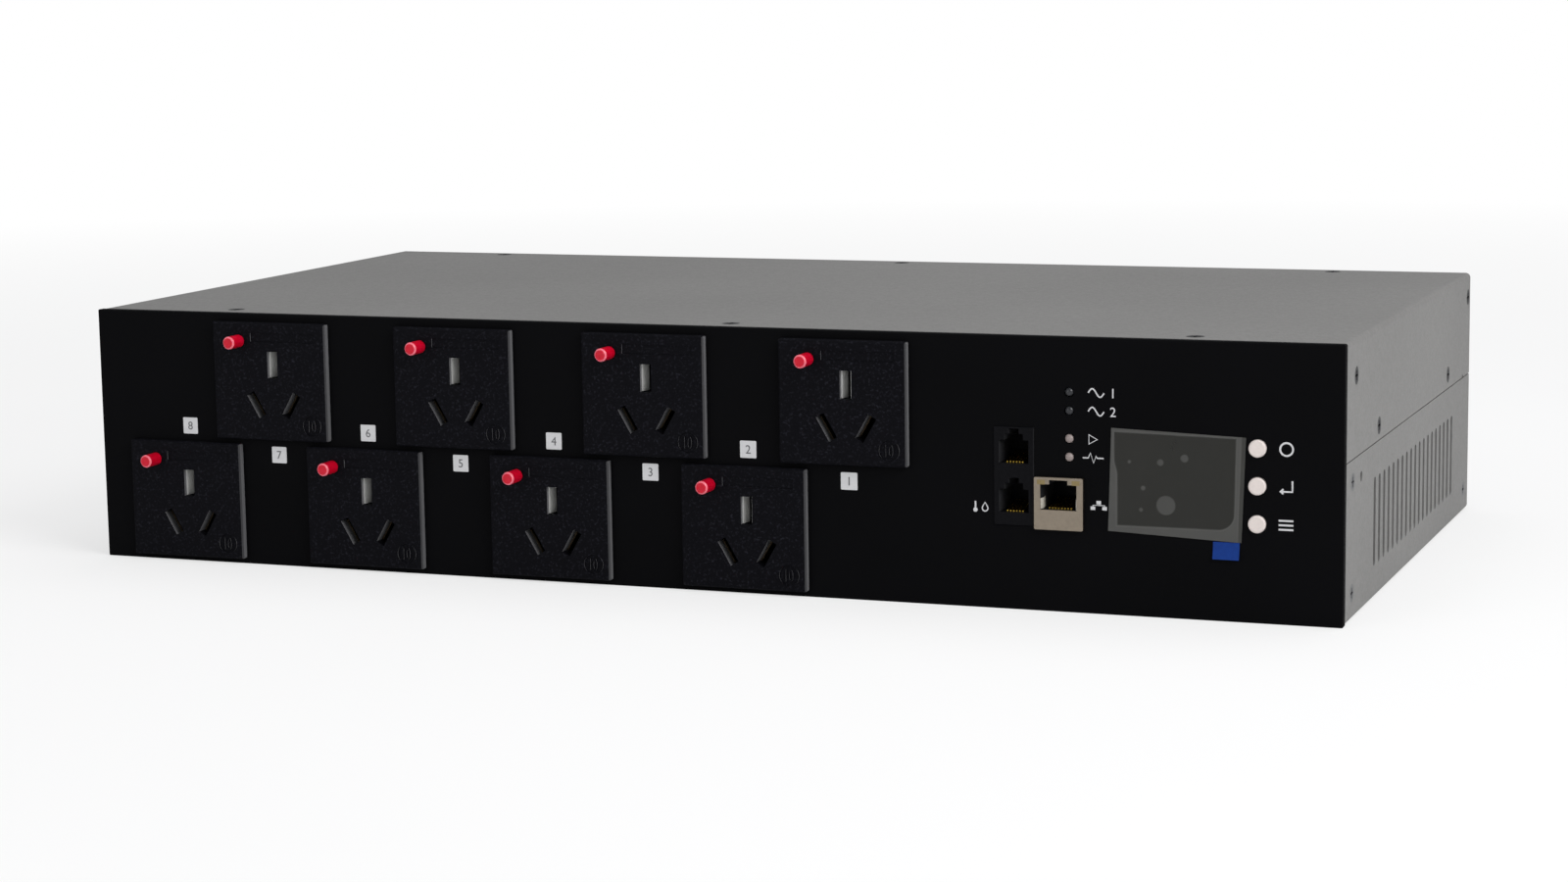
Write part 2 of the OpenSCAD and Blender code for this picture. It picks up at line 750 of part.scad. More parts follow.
module panel_nuts() {
    color("#c0c2c4")
    at_studs() translate([0, bracket_t, 0]) rotate([-90, 0, 0]) difference() {
        cylinder(h = nut_t, r = nut_w/sqrt(3), $fn = 6);
        translate([0, 0, -1]) cylinder(h = nut_t + 2, r = stud_r + thread_gap);
    }
}

// ---- Outlets ----

// Places children on a slot of an outlet, turned with the slot
module at_slot(slot) {
    translate([slot[0], 0, slot[1]]) rotate([0, slot[4], 0]) children();
}

// Moulded socket housing: y = 0 is the face of the panel, the origin is the faceplate's middle
module outlet_housing() {
    face_y = face_t - bezel_t;
    slots = [earth_slot, live_slot, neutral_slot];
    pocket_r = collar_r + lens_gap;
    difference() {
        union() {
            bevelled_plate(bezel_w, bezel_h, bezel_t, bezel_r, bezel_edge);
            difference() {
                from_front(0, 0, -eps, body_d + eps) round_rect(body_w, body_h, 1.5);
                from_front(0, 0, face_y, body_d)
                    round_rect(body_w - 2*body_wall, body_h - 2*body_wall, 0.8);
                latch_slits();
            }
            for (slot = slots) at_slot(slot)
                block(0, 0, -slot[3]/2 - chamber_wall, slot[2] + 2*chamber_wall, body_d - 4,
                      slot[3] + 2*chamber_wall);
            post(-lamp_left, lamp_up, 0, 12, pocket_r + 1);
            latches();
        }
        for (slot = slots) at_slot(slot)
            block(0, -bezel_t - 1, -slot[3]/2, slot[2], bezel_t + body_d + 2, slot[3]);
        post(-lamp_left, lamp_up, -bezel_t - 1, body_d, lens_r + lens_gap);
        post(-lamp_left, lamp_up, face_y, body_d, pocket_r);
        faceplate_marks();
    }
}

// Ramps on both sides that snap behind the panel
module latches() {
    for (side = [-1, 1]) scale([side, 1, 1]) translate([0, 0, -latch_l/2]) linear_extrude(latch_l)
        polygon([[body_w/2 - eps, panel_t], [body_w/2 + latch_out, panel_t],
                 [body_w/2 - eps, panel_t + latch_d]]);
}

// Slits above and below each latch, so that its arm can bend
module latch_slits() {
    slit_y = panel_t - 1;
    for (side = [-1, 1], end = [-1, 1])
        block(side*body_w/2, slit_y, end*(latch_l + slit_w)/2 - slit_w/2, 4*body_wall, body_d, slit_w);
}

// Bare name strip and round rating mark, moulded a little into the face
module faceplate_marks() {
    strip_x = 5.35;
    strip_z = 15.3;
    disc_x = 15.9;
    disc_z = -15;
    from_front(strip_x, strip_z, -bezel_t - 1, mark_depth + 1) round_rect(strip_mark_w, strip_mark_h, 0.4);
    from_front(disc_x, disc_z, -bezel_t - 1, mark_depth + 1) circle(disc_mark_r);
}

module outlet(n) {
    color("#18181a") translate([outlet_x(n), y_front, outlet_z(n)]) outlet_housing();
}

// Red lens with its collar behind the face, hollow for its lamp
module outlet_lamp(n) {
    face_y = face_t - bezel_t;
    sleeve = 5;
    total = bezel_t + lens_out + face_y + collar_t + sleeve;
    collar_h = sleeve + collar_t;
    color("#dc0028")
    translate([outlet_x(n) - lamp_left, y_front + face_y + collar_h, outlet_z(n) + lamp_up])
        rotate([90, 0, 0]) rotate_extrude() polygon([
            [lens_r - lens_wall, 0], [lens_r + 0.2, 0], [lens_r + 0.2, sleeve], [collar_r, sleeve],
            [collar_r, collar_h], [lens_r, collar_h], [lens_r, total - lens_edge],
            [lens_r - lens_edge, total], [0, total], [0, total - 2*lens_wall],
            [lens_r - lens_wall, total - 2*lens_wall]
        ]);
}

// Sprung clip in a slot, with a shoulder and a tail riveted through the busbar
module contact(slot, lead) {
    w = slot[2];
    front = lead - bezel_t;
    grip = front + clip_l*0.35;
    base = front + clip_l;
    flare = w/2 - leaf_t;
    outline = [
        [-w/2, front], [-grip_gap/2 - leaf_t, grip], [-w/2, grip + clip_l*0.3], [-w/2, base],
        [w/2, base], [w/2, grip + clip_l*0.3], [grip_gap/2 + leaf_t, grip], [w/2, front],
        [flare, front], [grip_gap/2, grip], [flare, grip + clip_l*0.3], [flare, base - leaf_t],
        [-flare, base - leaf_t], [-flare, grip + clip_l*0.3], [-grip_gap/2, grip], [-flare, front]
    ];
    length = slot[3] - contact_slack;
    shoulder = body_d + busbar_gap - base;
    at_slot(slot) {
        translate([0, 0, -length/2]) linear_extrude(length) polygon(outline);
        post(0, slot[5], base - eps, shoulder + eps, shoulder_r);
        post(0, slot[5], base, shoulder + busbar_t + eps, tail_r);
        post(0, slot[5], body_d + busbar_gap + busbar_t, rivet_t, rivet_r);
    }
}

module contacts(slot, lead) {
    for (n = [1 : outlet_total]) translate([outlet_x(n), y_front, outlet_z(n)]) contact(slot, lead);
}

// One strip for each row of outlets, holed for the tails of its contacts
module busbars(slot) {
    for (row = [0, 1]) {
        first = outlet_total - row;
        last = 2 - row;
        z = lower_row_z + row*row_pitch + tail_z(slot);
        from_x = outlet_x(first) + tail_x(slot) - busbar_end;
        to_x = outlet_x(last) + tail_x(slot) + busbar_end;
        difference() {
            translate([from_x, busbar_y, z - busbar_h/2]) cube([to_x - from_x, busbar_t, busbar_h]);
            for (n = [last : 2 : first])
                post(outlet_x(n) + tail_x(slot), z, busbar_y - 1, busbar_t + 2, tail_r + thread_gap);
        }
    }
}

module earth_contacts() { color("#c9cacb") contacts(earth_slot, earth_lead); }
module live_contacts() { color("#c8a050") contacts(live_slot, face_t); }
module neutral_contacts() { color("#c8a050") contacts(neutral_slot, face_t); }
module earth_busbars() { color("#b87845") busbars(earth_slot); }
module live_busbars() { color("#b87845") busbars(live_slot); }
module neutral_busbars() { color("#b87845") busbars(neutral_slot); }

// One square sticker above each lower outlet and below each upper one
module number_stickers() {
    color("#e8e8e8")
    for (n = [1 : outlet_total])
        block(outlet_x(n) + sticker_shift, y_front - sticker_t,
              outlet_z(n) + (n % 2 == 0 ? sticker_reach : -sticker_reach) - sticker_w/2,
              sticker_w, sticker_t, sticker_w);
}

// ---- Jacks ----

// Front view of a sensor port with its stepped key, its floor at z = 0
module port_outline() {
    translate([-port_w/2, 0]) square([port_w, port_h]);
    translate([-key_w/2, port_h - eps]) square([key_w, key_h + eps]);
    translate([-key_slot_w/2, port_h + key_h - eps]) square([key_slot_w, key_slot_h + eps]);
}

// Twin sensor jack, two ports one above the other in one moulding
module sensor_jack() {
    x = x_side - sensor_edge;
    color("#141416")
    difference() {
        union() {
            translate([x, y_front, sensor_z + sensor_h/2])
                bevelled_plate(sensor_w, sensor_h, sensor_out, 0.1, 0.15);
            block(x, y_front - eps, sensor_z, sensor_w, jack_d, sensor_h);
            for (side = [-1, 1], y = [4, jack_d - 4])
                translate([x + side*(sensor_w/2 - 2), y_front + y, control_z])
                    cylinder(h = sensor_z - control_z + eps, r = 1);
        }
        for (i = [0, 1])
            from_front(x, sensor_z + port_floor + i*port_pitch, y_front - sensor_out - 1,
                       sensor_out + 1 + port_d) port_outline();
    }
}

// Front view of the network port with its latch notch, its floor at z = 0
module net_port_outline() {
    translate([-net_port_w/2, 0]) square([net_port_w, net_port_h]);
    translate([-net_notch_w/2, net_port_h - eps]) square([net_notch_w, net_notch_h + eps]);
}

net_x = x_side - network_edge;
net_lamp_x = network_w/2 - shell_t - 0.6 - net_lamp_w/2;
net_lamp_z = network_h - shell_t - 0.4 - net_lamp_h;

// Folded tinplate shell, open at the back, with its port and lamp windows
module network_jack_shell() {
    depth = jack_d + network_out;
    color("#9a8f80")
    difference() {
        from_front(net_x, control_z + network_h/2, y_front - network_out, depth)
            round_rect(network_w, network_h, 0.5);
        from_front(net_x, control_z + network_h/2, y_front - network_out + shell_t, depth)
            square([network_w - 2*shell_t, network_h - 2*shell_t], center = true);
        from_front(net_x, control_z + net_floor, y_front - network_out - 1, 3) net_port_outline();
        for (side = [-1, 1])
            from_front(net_x + side*net_lamp_x, control_z + net_lamp_z + net_lamp_h/2,
                       y_front - network_out - 1, 3) square([net_lamp_w, net_lamp_h], center = true);
    }
}

// Moulded insert that fills the shell and forms the port
module network_jack_insert() {
    color("#1a1a1c")
    difference() {
        block(net_x, y_front - network_out + shell_t, control_z + shell_t,
              network_w - 2*shell_t, jack_d - shell_t, network_h - 2*shell_t);
        from_front(net_x, control_z + net_floor, y_front - network_out - 1,
                   network_out + 1 + port_d) net_port_outline();
        for (side = [-1, 1])
            from_front(net_x + side*net_lamp_x, control_z + net_lamp_z + net_lamp_h/2,
                       y_front - network_out - 1, jack_d + 4) square([net_lamp_w, net_lamp_h], center = true);
    }
}

// Light pipes of the network jack, level with its face
module network_jack_lamps() {
    color("#8fae6a")
    for (side = [-1, 1])
        block(net_x + side*net_lamp_x, y_front - network_out, control_z + net_lamp_z,
              net_lamp_w, jack_d, net_lamp_h);
}

// Sprung wires along the floor of a port, rising towards the back
module port_wires_row(x, z, y, count) {
    rise = 2.2;
    for (i = [0 : count - 1])
        from_side(x + (i - (count - 1)/2)*wire_pitch - wire_w/2, wire_w)
            translate([y, z]) polygon([
                [1.2, 0], [port_d, 0], [port_d, 0.5], [4, 0.5],
                [port_d - 2, rise], [port_d - 2.4, rise + 0.3], [1.8, 0.45], [1.2, 0.45]
            ]);
}

module jack_contacts() {
    color("#d4af37") {
        for (i = [0, 1])
            port_wires_row(x_side - sensor_edge, sensor_z + port_floor + i*port_pitch, y_front, port_wires);
        port_wires_row(net_x, control_z + net_floor, y_front, net_wires);
    }
}

// ---- Indicators, display and keys ----

// Domed lamp with its collar and two legs down to the key board
module led(z) {
    barrel = 4;
    collar = 1;
    leg = 0.5;
    leg_shift = 1.27;
    translate([x_side - led_edge, 0, z]) {
        intersection() {
            translate([0, y_front + led_r - led_out, 0]) sphere(led_r);
            post(0, 0, y_front - led_out - 1, led_r + 1, led_r + 1);
        }
        post(0, 0, y_front + led_r - led_out, panel_t - led_r + led_out, led_r);
        post(0, 0, y_back, collar, led_r + 0.4);
        post(0, 0, y_back, barrel, led_r);
        for (side = [-1, 1])
            block(side*leg_shift/2, y_back + barrel - eps, -leg/2, leg, board_gap - barrel + eps, leg);
    }
}

module source_leds() { color("#26282c") for (z = source_led_z) led(z); }
module status_leds() { color("#cfc6c4") for (z = status_led_z) led(z); }

// Liquid crystal display with its lens level with the panel
module display_module() {
    x = x_side - screen_edge;
    color("#38383a") {
        from_front(x, screen_z, y_front, panel_t + eps) square([screen_w, screen_h], center = true);
        from_front(x, screen_z, y_back, board_gap)
            round_rect(screen_w + 2*screen_rim, screen_h + 2*screen_rim, 1);
    }
}

// Film laid a little askew over the window, as [across, up] from the window's middle
module screen_film() {
    color("#55555a")
    from_front(x_side - screen_edge, screen_z, y_front - film_t, film_t) polygon(film_corners());
}

function film_corners() = [
    [-screen_w/2 - 2.5, -screen_h/2 - 1.6], [screen_w/2 + 2, -screen_h/2 - 3.4],
    [screen_w/2 + 3.4, screen_h/2], [screen_w/2 + 0.9, screen_h/2 + 0.6],
    [-screen_w/2 - 1.5, screen_h/2 + 1.6]
];

// Blue pull tab stuck under the film's lower right corner
module film_tab() {
    color("#0a3282")
    block(x_side - screen_edge + screen_w/2 - 3, y_front - film_t,
          screen_z - screen_h/2 - 3.4 - tab_l, tab_w, film_t, tab_l);
}

// Round key cap with the flange that keeps it behind the panel
module key_cap(z) {
    flange_y = y_back + flange_gap;
    edge = 0.4;
    color("#ebe4e0") translate([x_side - key_edge, 0, z]) {
        translate([0, y_front - cap_out + edge, 0]) rotate([90, 0, 0])
            cylinder(h = edge, r1 = cap_r, r2 = cap_r - edge);
        post(0, 0, y_front - cap_out + edge - eps, flange_y - y_front + cap_out - edge + 2*eps, cap_r);
        post(0, 0, flange_y, flange_t, flange_r);
    }
}

// Plunger between a cap and its switch
module plunger(z) {
    start = y_back + flange_gap + flange_t;
    color("#303236")
    post(x_side - key_edge, z, start, board_y - switch_h + plunger_in - start, plunger_r);
}

module function_button() { key_cap(key_z[0]); }
module enter_button() { key_cap(key_z[1]); }
module back_button() { key_cap(key_z[2]); }
module function_plunger() { plunger(key_z[0]); }
module enter_plunger() { plunger(key_z[1]); }
module back_plunger() { plunger(key_z[2]); }

// Square switches on the key board, each bored for its plunger
module key_switches() {
    bore = plunger_in + key_travel + 0.3;
    color("#3c3e42")
    for (z = key_z) difference() {
        block(x_side - key_edge, board_y - switch_h, z - switch_w/2, switch_w, switch_h, switch_w);
        post(x_side - key_edge, z, board_y - switch_h - 1, bore + 1, plunger_r + plunger_gap);
    }
}

// ---- Circuit boards ----

key_board_right = x_side - 13;
key_board_low = screen_z - screen_h/2 - screen_rim - 9.6;
key_board_top = source_led_z[1] + 9.4;
key_board_left = x_side - led_edge - 9.2;
key_board_step = screen_edge + screen_w/2 + screen_rim + 3.9;
key_spacers = [
    [key_board_left + 3.5, key_board_top - 3.5], [key_board_right - 3.5, key_board_top - 3.5],
    [key_board_right - 3.5, key_board_low + 3.5], [x_side - key_board_step + 3.5, key_board_low + 3.5]
];

// Upright board behind the panel, cut away over the jacks
module key_board() {
    step_x = x_side - key_board_step;
    step_z = control_z + network_h + 3;
    color("#1d5c38")
    from_front(0, 0, board_y, board_t) polygon([
        [step_x, key_board_low], [key_board_right, key_board_low], [key_board_right, key_board_top],
        [key_board_left, key_board_top], [key_board_left, step_z], [step_x, step_z]
    ]);
}

control_left = x_side - control_edge;
control_right = x_side - control_inset;
control_front = y_back + 0.5;
control_step = board_y + board_t + 0.9;
control_rear = control_front + control_d;
control_spacers = [
    [control_left + 4, control_front + 6], [control_right - spacer_inset, control_step + spacer_inset],
    [control_left + spacer_inset, control_rear - spacer_inset],
    [control_right - spacer_inset, control_rear - spacer_inset]
];

// Level board that carries both jacks, notched behind the key board
module control_board() {
    step_x = x_side - key_board_step - 2;
    color("#1d5c38")
    translate([0, 0, control_z - board_t]) linear_extrude(board_t) polygon([
        [control_left, control_front], [step_x, control_front], [step_x, control_step],
        [control_right, control_step], [control_right, control_rear], [control_left, control_rear]
    ]);
}

power_left = -x_side + 16;
power_front = y_front + power_y;
power_z = sheet_t + power_up;
power_mid_x = power_left + power_w/2;
power_top = power_z + board_t;

module power_board() {
    color("#1d5c38")
    translate([power_left, power_front, power_z]) cube([power_w, power_d, board_t]);
}

// Round spacers of all three boards
module board_spacers() {
    color("#c9a25a") {
        for (p = key_spacers) post(p[0], p[1], y_back, board_gap, spacer_r);
        for (p = control_spacers) translate([p[0], p[1], sheet_t])
            cylinder(h = control_z - board_t - sheet_t, r = spacer_r);
        for (i = [0, 0.5, 1], j = [0, 1])
            translate([power_left + spacer_inset + i*(power_w - 2*spacer_inset),
                       power_front + spacer_inset + j*(power_d - 2*spacer_inset), sheet_t])
                cylinder(h = power_up, r = spacer_r);
    }
}

// ---- Power stage ----

sink_mid_x = x_side - sink_inset - sink_l/2;
sink_front = y_front + sink_y;
sink_top = sheet_t + sink_h;

// Extruded heat sink standing on its fins, which lie along the vents' draught
module heat_sink() {
    fin_pitch = (sink_w - fin_t)/(fin_count - 1);
    color("#a8abae")
    from_side(sink_mid_x - sink_l/2, sink_l) {
        translate([sink_front, sink_top - sink_base]) square([sink_w, sink_base]);
        for (i = [0 : fin_count - 1])
            translate([sink_front + i*fin_pitch, sheet_t]) square([fin_t, sink_h - sink_base + eps]);
    }
}

// Two thyristor modules, one for each source, with three screw terminals each
module thyristor_modules() {
    ear_h = 8;
    terminal_r = 4.5;
    terminal_h = 4;
    color("#2b2c30")
    for (i = [0, 1]) translate([sink_mid_x, sink_front + sink_w/2 + (i - 0.5)*module_pitch, sink_top]) {
        block(0, -module_w/2, 0, module_l, module_w, ear_h);
        block(0, -module_w/2, 0, module_l*0.78, module_w, module_h);
        for (t = [-1, 0, 1]) translate([t*module_l*0.24, 0, module_h - eps]) difference() {
            cylinder(h = terminal_h + eps, r = terminal_r);
            translate([0, 0, 1]) cylinder(h = terminal_h, r = terminal_r/2);
        }
        for (t = [-1, 1]) block(t*module_l*0.12, -module_w/2, module_h - eps, 1.5, module_w, terminal_h);
    }
}

// Sealed relays in a row on the power board
module relays() {
    first = power_mid_x + power_w*0.14;
    color("#3a4a78")
    for (i = [0 : relay_count - 1]) {
        x = first + i*relay_pitch;
        y = power_front + power_d*0.6;
        block(x, y, power_top, relay_size[0], relay_size[1], relay_size[2]);
        for (end = [-1, 1]) translate([x, y + relay_size[1]/2 + end*relay_size[1]*0.3, power_top])
            cylinder(h = relay_size[2] + 0.6, r = 1.2);
    }
}

// Supply transformers: a laminated core round a wound bobbin
module transformers() {
    color("#6b4a2a")
    for (i = [0, 1]) {
        x = power_left + 45 + i*core_pitch;
        y = power_front + power_d*0.6;
        block(x, y, power_top, core_size[0], core_size[1], core_size[2]);
        translate([x, y + core_size[1]/2, power_top + core_size[2]/2]) rotate([90, 0, 0])
            linear_extrude(core_size[1] + 2*winding_out, center = true)
                round_rect(core_size[0]*0.62, core_size[2]*0.62, 3);
        block(x, y - winding_out/2, power_top, core_size[0]*0.5, core_size[1] + winding_out,
              core_size[2]*0.25);
    }
}

// ---- Rear inlets ----

inlet_gap = 0.2;
function inlet_x(i) = -x_side + inlet_edge + i*inlet_pitch;

// Places children with +Z out of the rear wall, at an inlet's screws
module at_inlet_screws(i) {
    for (side = [-1, 1])
        translate([inlet_x(i) + side*inlet_screw_pitch/2, y_rear, inlet_z]) rotate([-90, 0, 0]) children();
}

// Moulded inlet with a flange outside and a deep mouth round its pins
module source_inlet(i) {
    color("#1b1b1d")
    difference() {
        union() {
            translate([inlet_x(i), y_rear, inlet_z]) scale([1, -1, 1])
                bevelled_plate(inlet_flange_w, inlet_flange_h, inlet_flange_t, 3, 0.6);
            block(inlet_x(i), y_rear - inlet_d, inlet_z - inlet_h/2, inlet_w, inlet_d + eps, inlet_h);
        }
        from_front(inlet_x(i), inlet_z, y_rear + inlet_flange_t - mouth_d, mouth_d + 1)
            round_rect(mouth_w, mouth_h, 3);
        for (p = pin_places()) inlet_pin_slot(i, p);
        at_inlet_screws(i) translate([0, 0, inlet_flange_t]) screw_hole();
    }
}

// Earth above the middle, live and neutral below it
function pin_places() = [[0, pin_rise], [-pin_pitch/2, -pin_rise], [pin_pitch/2, -pin_rise]];

module inlet_pin_slot(i, p) {
    block(inlet_x(i) + p[0], y_rear - inlet_d - 1, inlet_z + p[1] - pin_t/2, pin_w, inlet_d, pin_t);
}

module inlet_pins() {
    tip = y_rear + inlet_flange_t - pin_back;
    color("#c9cacb")
    for (i = [0, 1], p = pin_places())
        block(inlet_x(i) + p[0], y_rear - inlet_d - pin_tail, inlet_z + p[1] - pin_t/2,
              pin_w, tip - y_rear + inlet_d + pin_tail, pin_t);
}

chassis_tray();
top_cover();
front_panel();
rear_panel();
panel_brackets();
top_rail();
cover_screws();
chassis_screws();
panel_nuts();
outlet(1);  // outlet_1
outlet(2);  // outlet_2
outlet(3);  // outlet_3
outlet(4);  // outlet_4
outlet(5);  // outlet_5
outlet(6);  // outlet_6
outlet(7);  // outlet_7
outlet(8);  // outlet_8
outlet_lamp(1);  // outlet_lamp_1
outlet_lamp(2);  // outlet_lamp_2
outlet_lamp(3);  // outlet_lamp_3
outlet_lamp(4);  // outlet_lamp_4
outlet_lamp(5);  // outlet_lamp_5
outlet_lamp(6);  // outlet_lamp_6
outlet_lamp(7);  // outlet_lamp_7
outlet_lamp(8);  // outlet_lamp_8
earth_contacts();
live_contacts();
neutral_contacts();
earth_busbars();
live_busbars();
neutral_busbars();
number_stickers();
sensor_jack();
network_jack_shell();
network_jack_insert();
network_jack_lamps();
jack_contacts();
source_leds();
status_leds();
display_module();
screen_film();
film_tab();
function_button();
enter_button();
back_button();
function_plunger();
enter_plunger();
back_plunger();
key_switches();
key_board();
control_board();
power_board();
board_spacers();
heat_sink();
thyristor_modules();
relays();
transformers();
source_inlet(0);  // source_inlet_a
source_inlet(1);  // source_inlet_b
inlet_pins();
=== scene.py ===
"""Looks of a rack static transfer switch: a grey powder coated case behind a matt black front."""

import json
import math

import bmesh
import bpy
from mathutils import Matrix, Vector


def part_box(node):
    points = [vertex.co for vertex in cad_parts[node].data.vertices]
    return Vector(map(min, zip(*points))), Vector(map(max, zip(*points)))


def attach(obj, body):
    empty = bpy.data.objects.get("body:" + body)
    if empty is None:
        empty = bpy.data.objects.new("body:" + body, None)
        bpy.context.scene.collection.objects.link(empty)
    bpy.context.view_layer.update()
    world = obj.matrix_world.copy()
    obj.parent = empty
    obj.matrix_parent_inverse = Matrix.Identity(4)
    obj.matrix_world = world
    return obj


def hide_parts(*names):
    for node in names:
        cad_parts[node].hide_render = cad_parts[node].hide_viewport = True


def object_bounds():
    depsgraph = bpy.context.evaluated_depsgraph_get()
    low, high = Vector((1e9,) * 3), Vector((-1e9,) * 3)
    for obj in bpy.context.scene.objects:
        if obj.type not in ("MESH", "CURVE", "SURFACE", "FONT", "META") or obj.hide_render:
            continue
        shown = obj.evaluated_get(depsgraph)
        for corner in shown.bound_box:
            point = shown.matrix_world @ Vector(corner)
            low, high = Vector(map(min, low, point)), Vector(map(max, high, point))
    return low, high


MM = 0.001

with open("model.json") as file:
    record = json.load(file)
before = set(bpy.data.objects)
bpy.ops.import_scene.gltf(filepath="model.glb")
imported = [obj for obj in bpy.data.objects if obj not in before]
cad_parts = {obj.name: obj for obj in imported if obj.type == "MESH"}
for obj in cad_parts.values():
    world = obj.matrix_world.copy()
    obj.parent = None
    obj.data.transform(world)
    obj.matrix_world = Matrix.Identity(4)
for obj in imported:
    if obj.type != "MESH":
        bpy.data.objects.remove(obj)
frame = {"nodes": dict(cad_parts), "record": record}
cad_low, cad_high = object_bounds()
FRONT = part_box("front_panel")[0].y         # the panel's front face
OUTLET_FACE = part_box("outlet_1")[0].y
SHADE_INSET = 0.6 * MM                           # past this depth under the case's outside, painted shade replaces the coat
SHADE_TOP = 48 * MM                         # the painted shade inside, seen through the vents, ends below this height

# ---------------------------------------------------------------- materials


def rgb(code):
    """Linear colour of an sRGB hex code such as "808080"."""
    parts = [int(code[i:i + 2], 16) / 255 for i in (0, 2, 4)]
    return [p / 12.92 if p <= 0.04045 else ((p + 0.055) / 1.055) ** 2.4 for p in parts] + [1.0]


def feed(tree, node, **inputs):
    """Sets a node's inputs, found by identifier or by name, to values or to the sockets given."""
    for key, value in inputs.items():
        name = key.replace("_", " ")
        socket = next(s for s in node.inputs if s.identifier == key or s.name == name)
        if isinstance(value, bpy.types.NodeSocket):
            tree.links.new(value, socket)
        else:
            socket.default_value = value
    return node


def add(tree, kind, settings=None, **inputs):
    """Adds one shader node with its settings, its values and the sockets that feed it."""
    node = tree.nodes.new("ShaderNode" + kind)
    for name, value in (settings or {}).items():
        setattr(node, name, value)
    return feed(tree, node, **inputs)


def begin(name, **inputs):
    """A new material with its Principled shader and the place on the object in metres."""
    material = bpy.data.materials.new(name)
    material.use_nodes = True
    tree = material.node_tree
    shader = feed(tree, tree.nodes["Principled BSDF"], **inputs)
    return material, tree, shader, add(tree, "TexCoord").outputs["Object"]


COLOR = 2        # a Mix node's colour output
PER_MM = 1000.0  # a noise scale of this has features of about a millimetre
WHITE = (1.0, 1.0, 1.0, 1.0)


def case_paint():
    """Grey powder coat: baked into soft pebbles, so highlights spread and break up a little."""
    material, tree, shader, here = begin("grey powder coat", IOR=1.5, Specular_IOR_Level=0.3)
    # The coat's pebbles are about 0.3 mm; they are drawn at 0.8 mm so that they show
    pebbles = add(tree, "TexNoise", Vector=here, Scale=1.2 * PER_MM, Detail=3.0, Roughness=0.6)
    specks = add(tree, "TexNoise", Vector=here, Scale=0.45 * PER_MM, Detail=2.0, Roughness=0.5)
    drift = add(tree, "TexNoise", Vector=here, Scale=8.0, Detail=1.0)
    fine = add(tree, "Mix", {"data_type": "RGBA"}, Factor=specks.outputs["Fac"],
               A_Color=rgb("747372"), B_Color=rgb("848381"))
    soft = add(tree, "Mix", {"data_type": "RGBA", "blend_type": "MULTIPLY"}, Factor=0.2,
               A_Color=fine.outputs[COLOR], B_Color=drift.outputs["Fac"])
    # Painted shade inside, behind the vents: near black in place of the coat. No limit from front to
    # back: the rear wall's outside below the band's top is taken in too.
    place = add(tree, "SeparateXYZ", Vector=here)
    aside = add(tree, "Math", {"operation": "ABSOLUTE"}, Value=place.outputs["X"])
    within = add(tree, "Math", {"operation": "LESS_THAN"}, Value=aside.outputs["Value"],
                 Value_001=cad_high.x - SHADE_INSET)
    below = add(tree, "Math", {"operation": "LESS_THAN"}, Value=place.outputs["Z"], Value_001=SHADE_TOP)
    above = add(tree, "Math", {"operation": "GREATER_THAN"}, Value=place.outputs["Z"], Value_001=SHADE_INSET)
    shade_band = add(tree, "Math", {"operation": "MULTIPLY"}, Value=below.outputs["Value"],
               Value_001=above.outputs["Value"])
    inside = add(tree, "Math", {"operation": "MULTIPLY"}, Value=within.outputs["Value"],
                 Value_001=shade_band.outputs["Value"])
    skin = add(tree, "Mix", {"data_type": "RGBA"}, Factor=inside.outputs["Value"],
               A_Color=soft.outputs[COLOR], B_Color=rgb("1c1d1d"))
    rough = add(tree, "MapRange", Value=pebbles.outputs["Fac"], From_Min=0.3, From_Max=0.7,
                To_Min=0.5, To_Max=0.64)
    relief = add(tree, "Bump", Height=pebbles.outputs["Fac"], Strength=0.3, Distance=0.06 * MM)
    feed(tree, shader, Base_Color=skin.outputs[COLOR], Roughness=rough.outputs["Result"],
         Normal=relief.outputs["Normal"])
    return material


def panel_paint():
    """Matt black coat on aluminium: it soaks up nearly all light, with the faintest fine grain."""
    material, tree, shader, here = begin("matt black coat", IOR=1.5, Specular_IOR_Level=0.02)
    grain = add(tree, "TexNoise", Vector=here, Scale=1.6 * PER_MM, Detail=2.0, Roughness=0.6)
    cloud = add(tree, "TexNoise", Vector=here, Scale=25.0, Detail=2.0)
    color = add(tree, "Mix", {"data_type": "RGBA"}, Factor=cloud.outputs["Fac"],
                A_Color=rgb("09090a"), B_Color=rgb("0c0c0e"))
    rough = add(tree, "MapRange", Value=grain.outputs["Fac"], From_Min=0.3, From_Max=0.7,
                To_Min=0.5, To_Max=0.65)
    relief = add(tree, "Bump", Height=grain.outputs["Fac"], Strength=0.15, Distance=0.03 * MM)
    feed(tree, shader, Base_Color=color.outputs[COLOR], Roughness=rough.outputs["Result"],
         Normal=relief.outputs["Normal"])
    return material


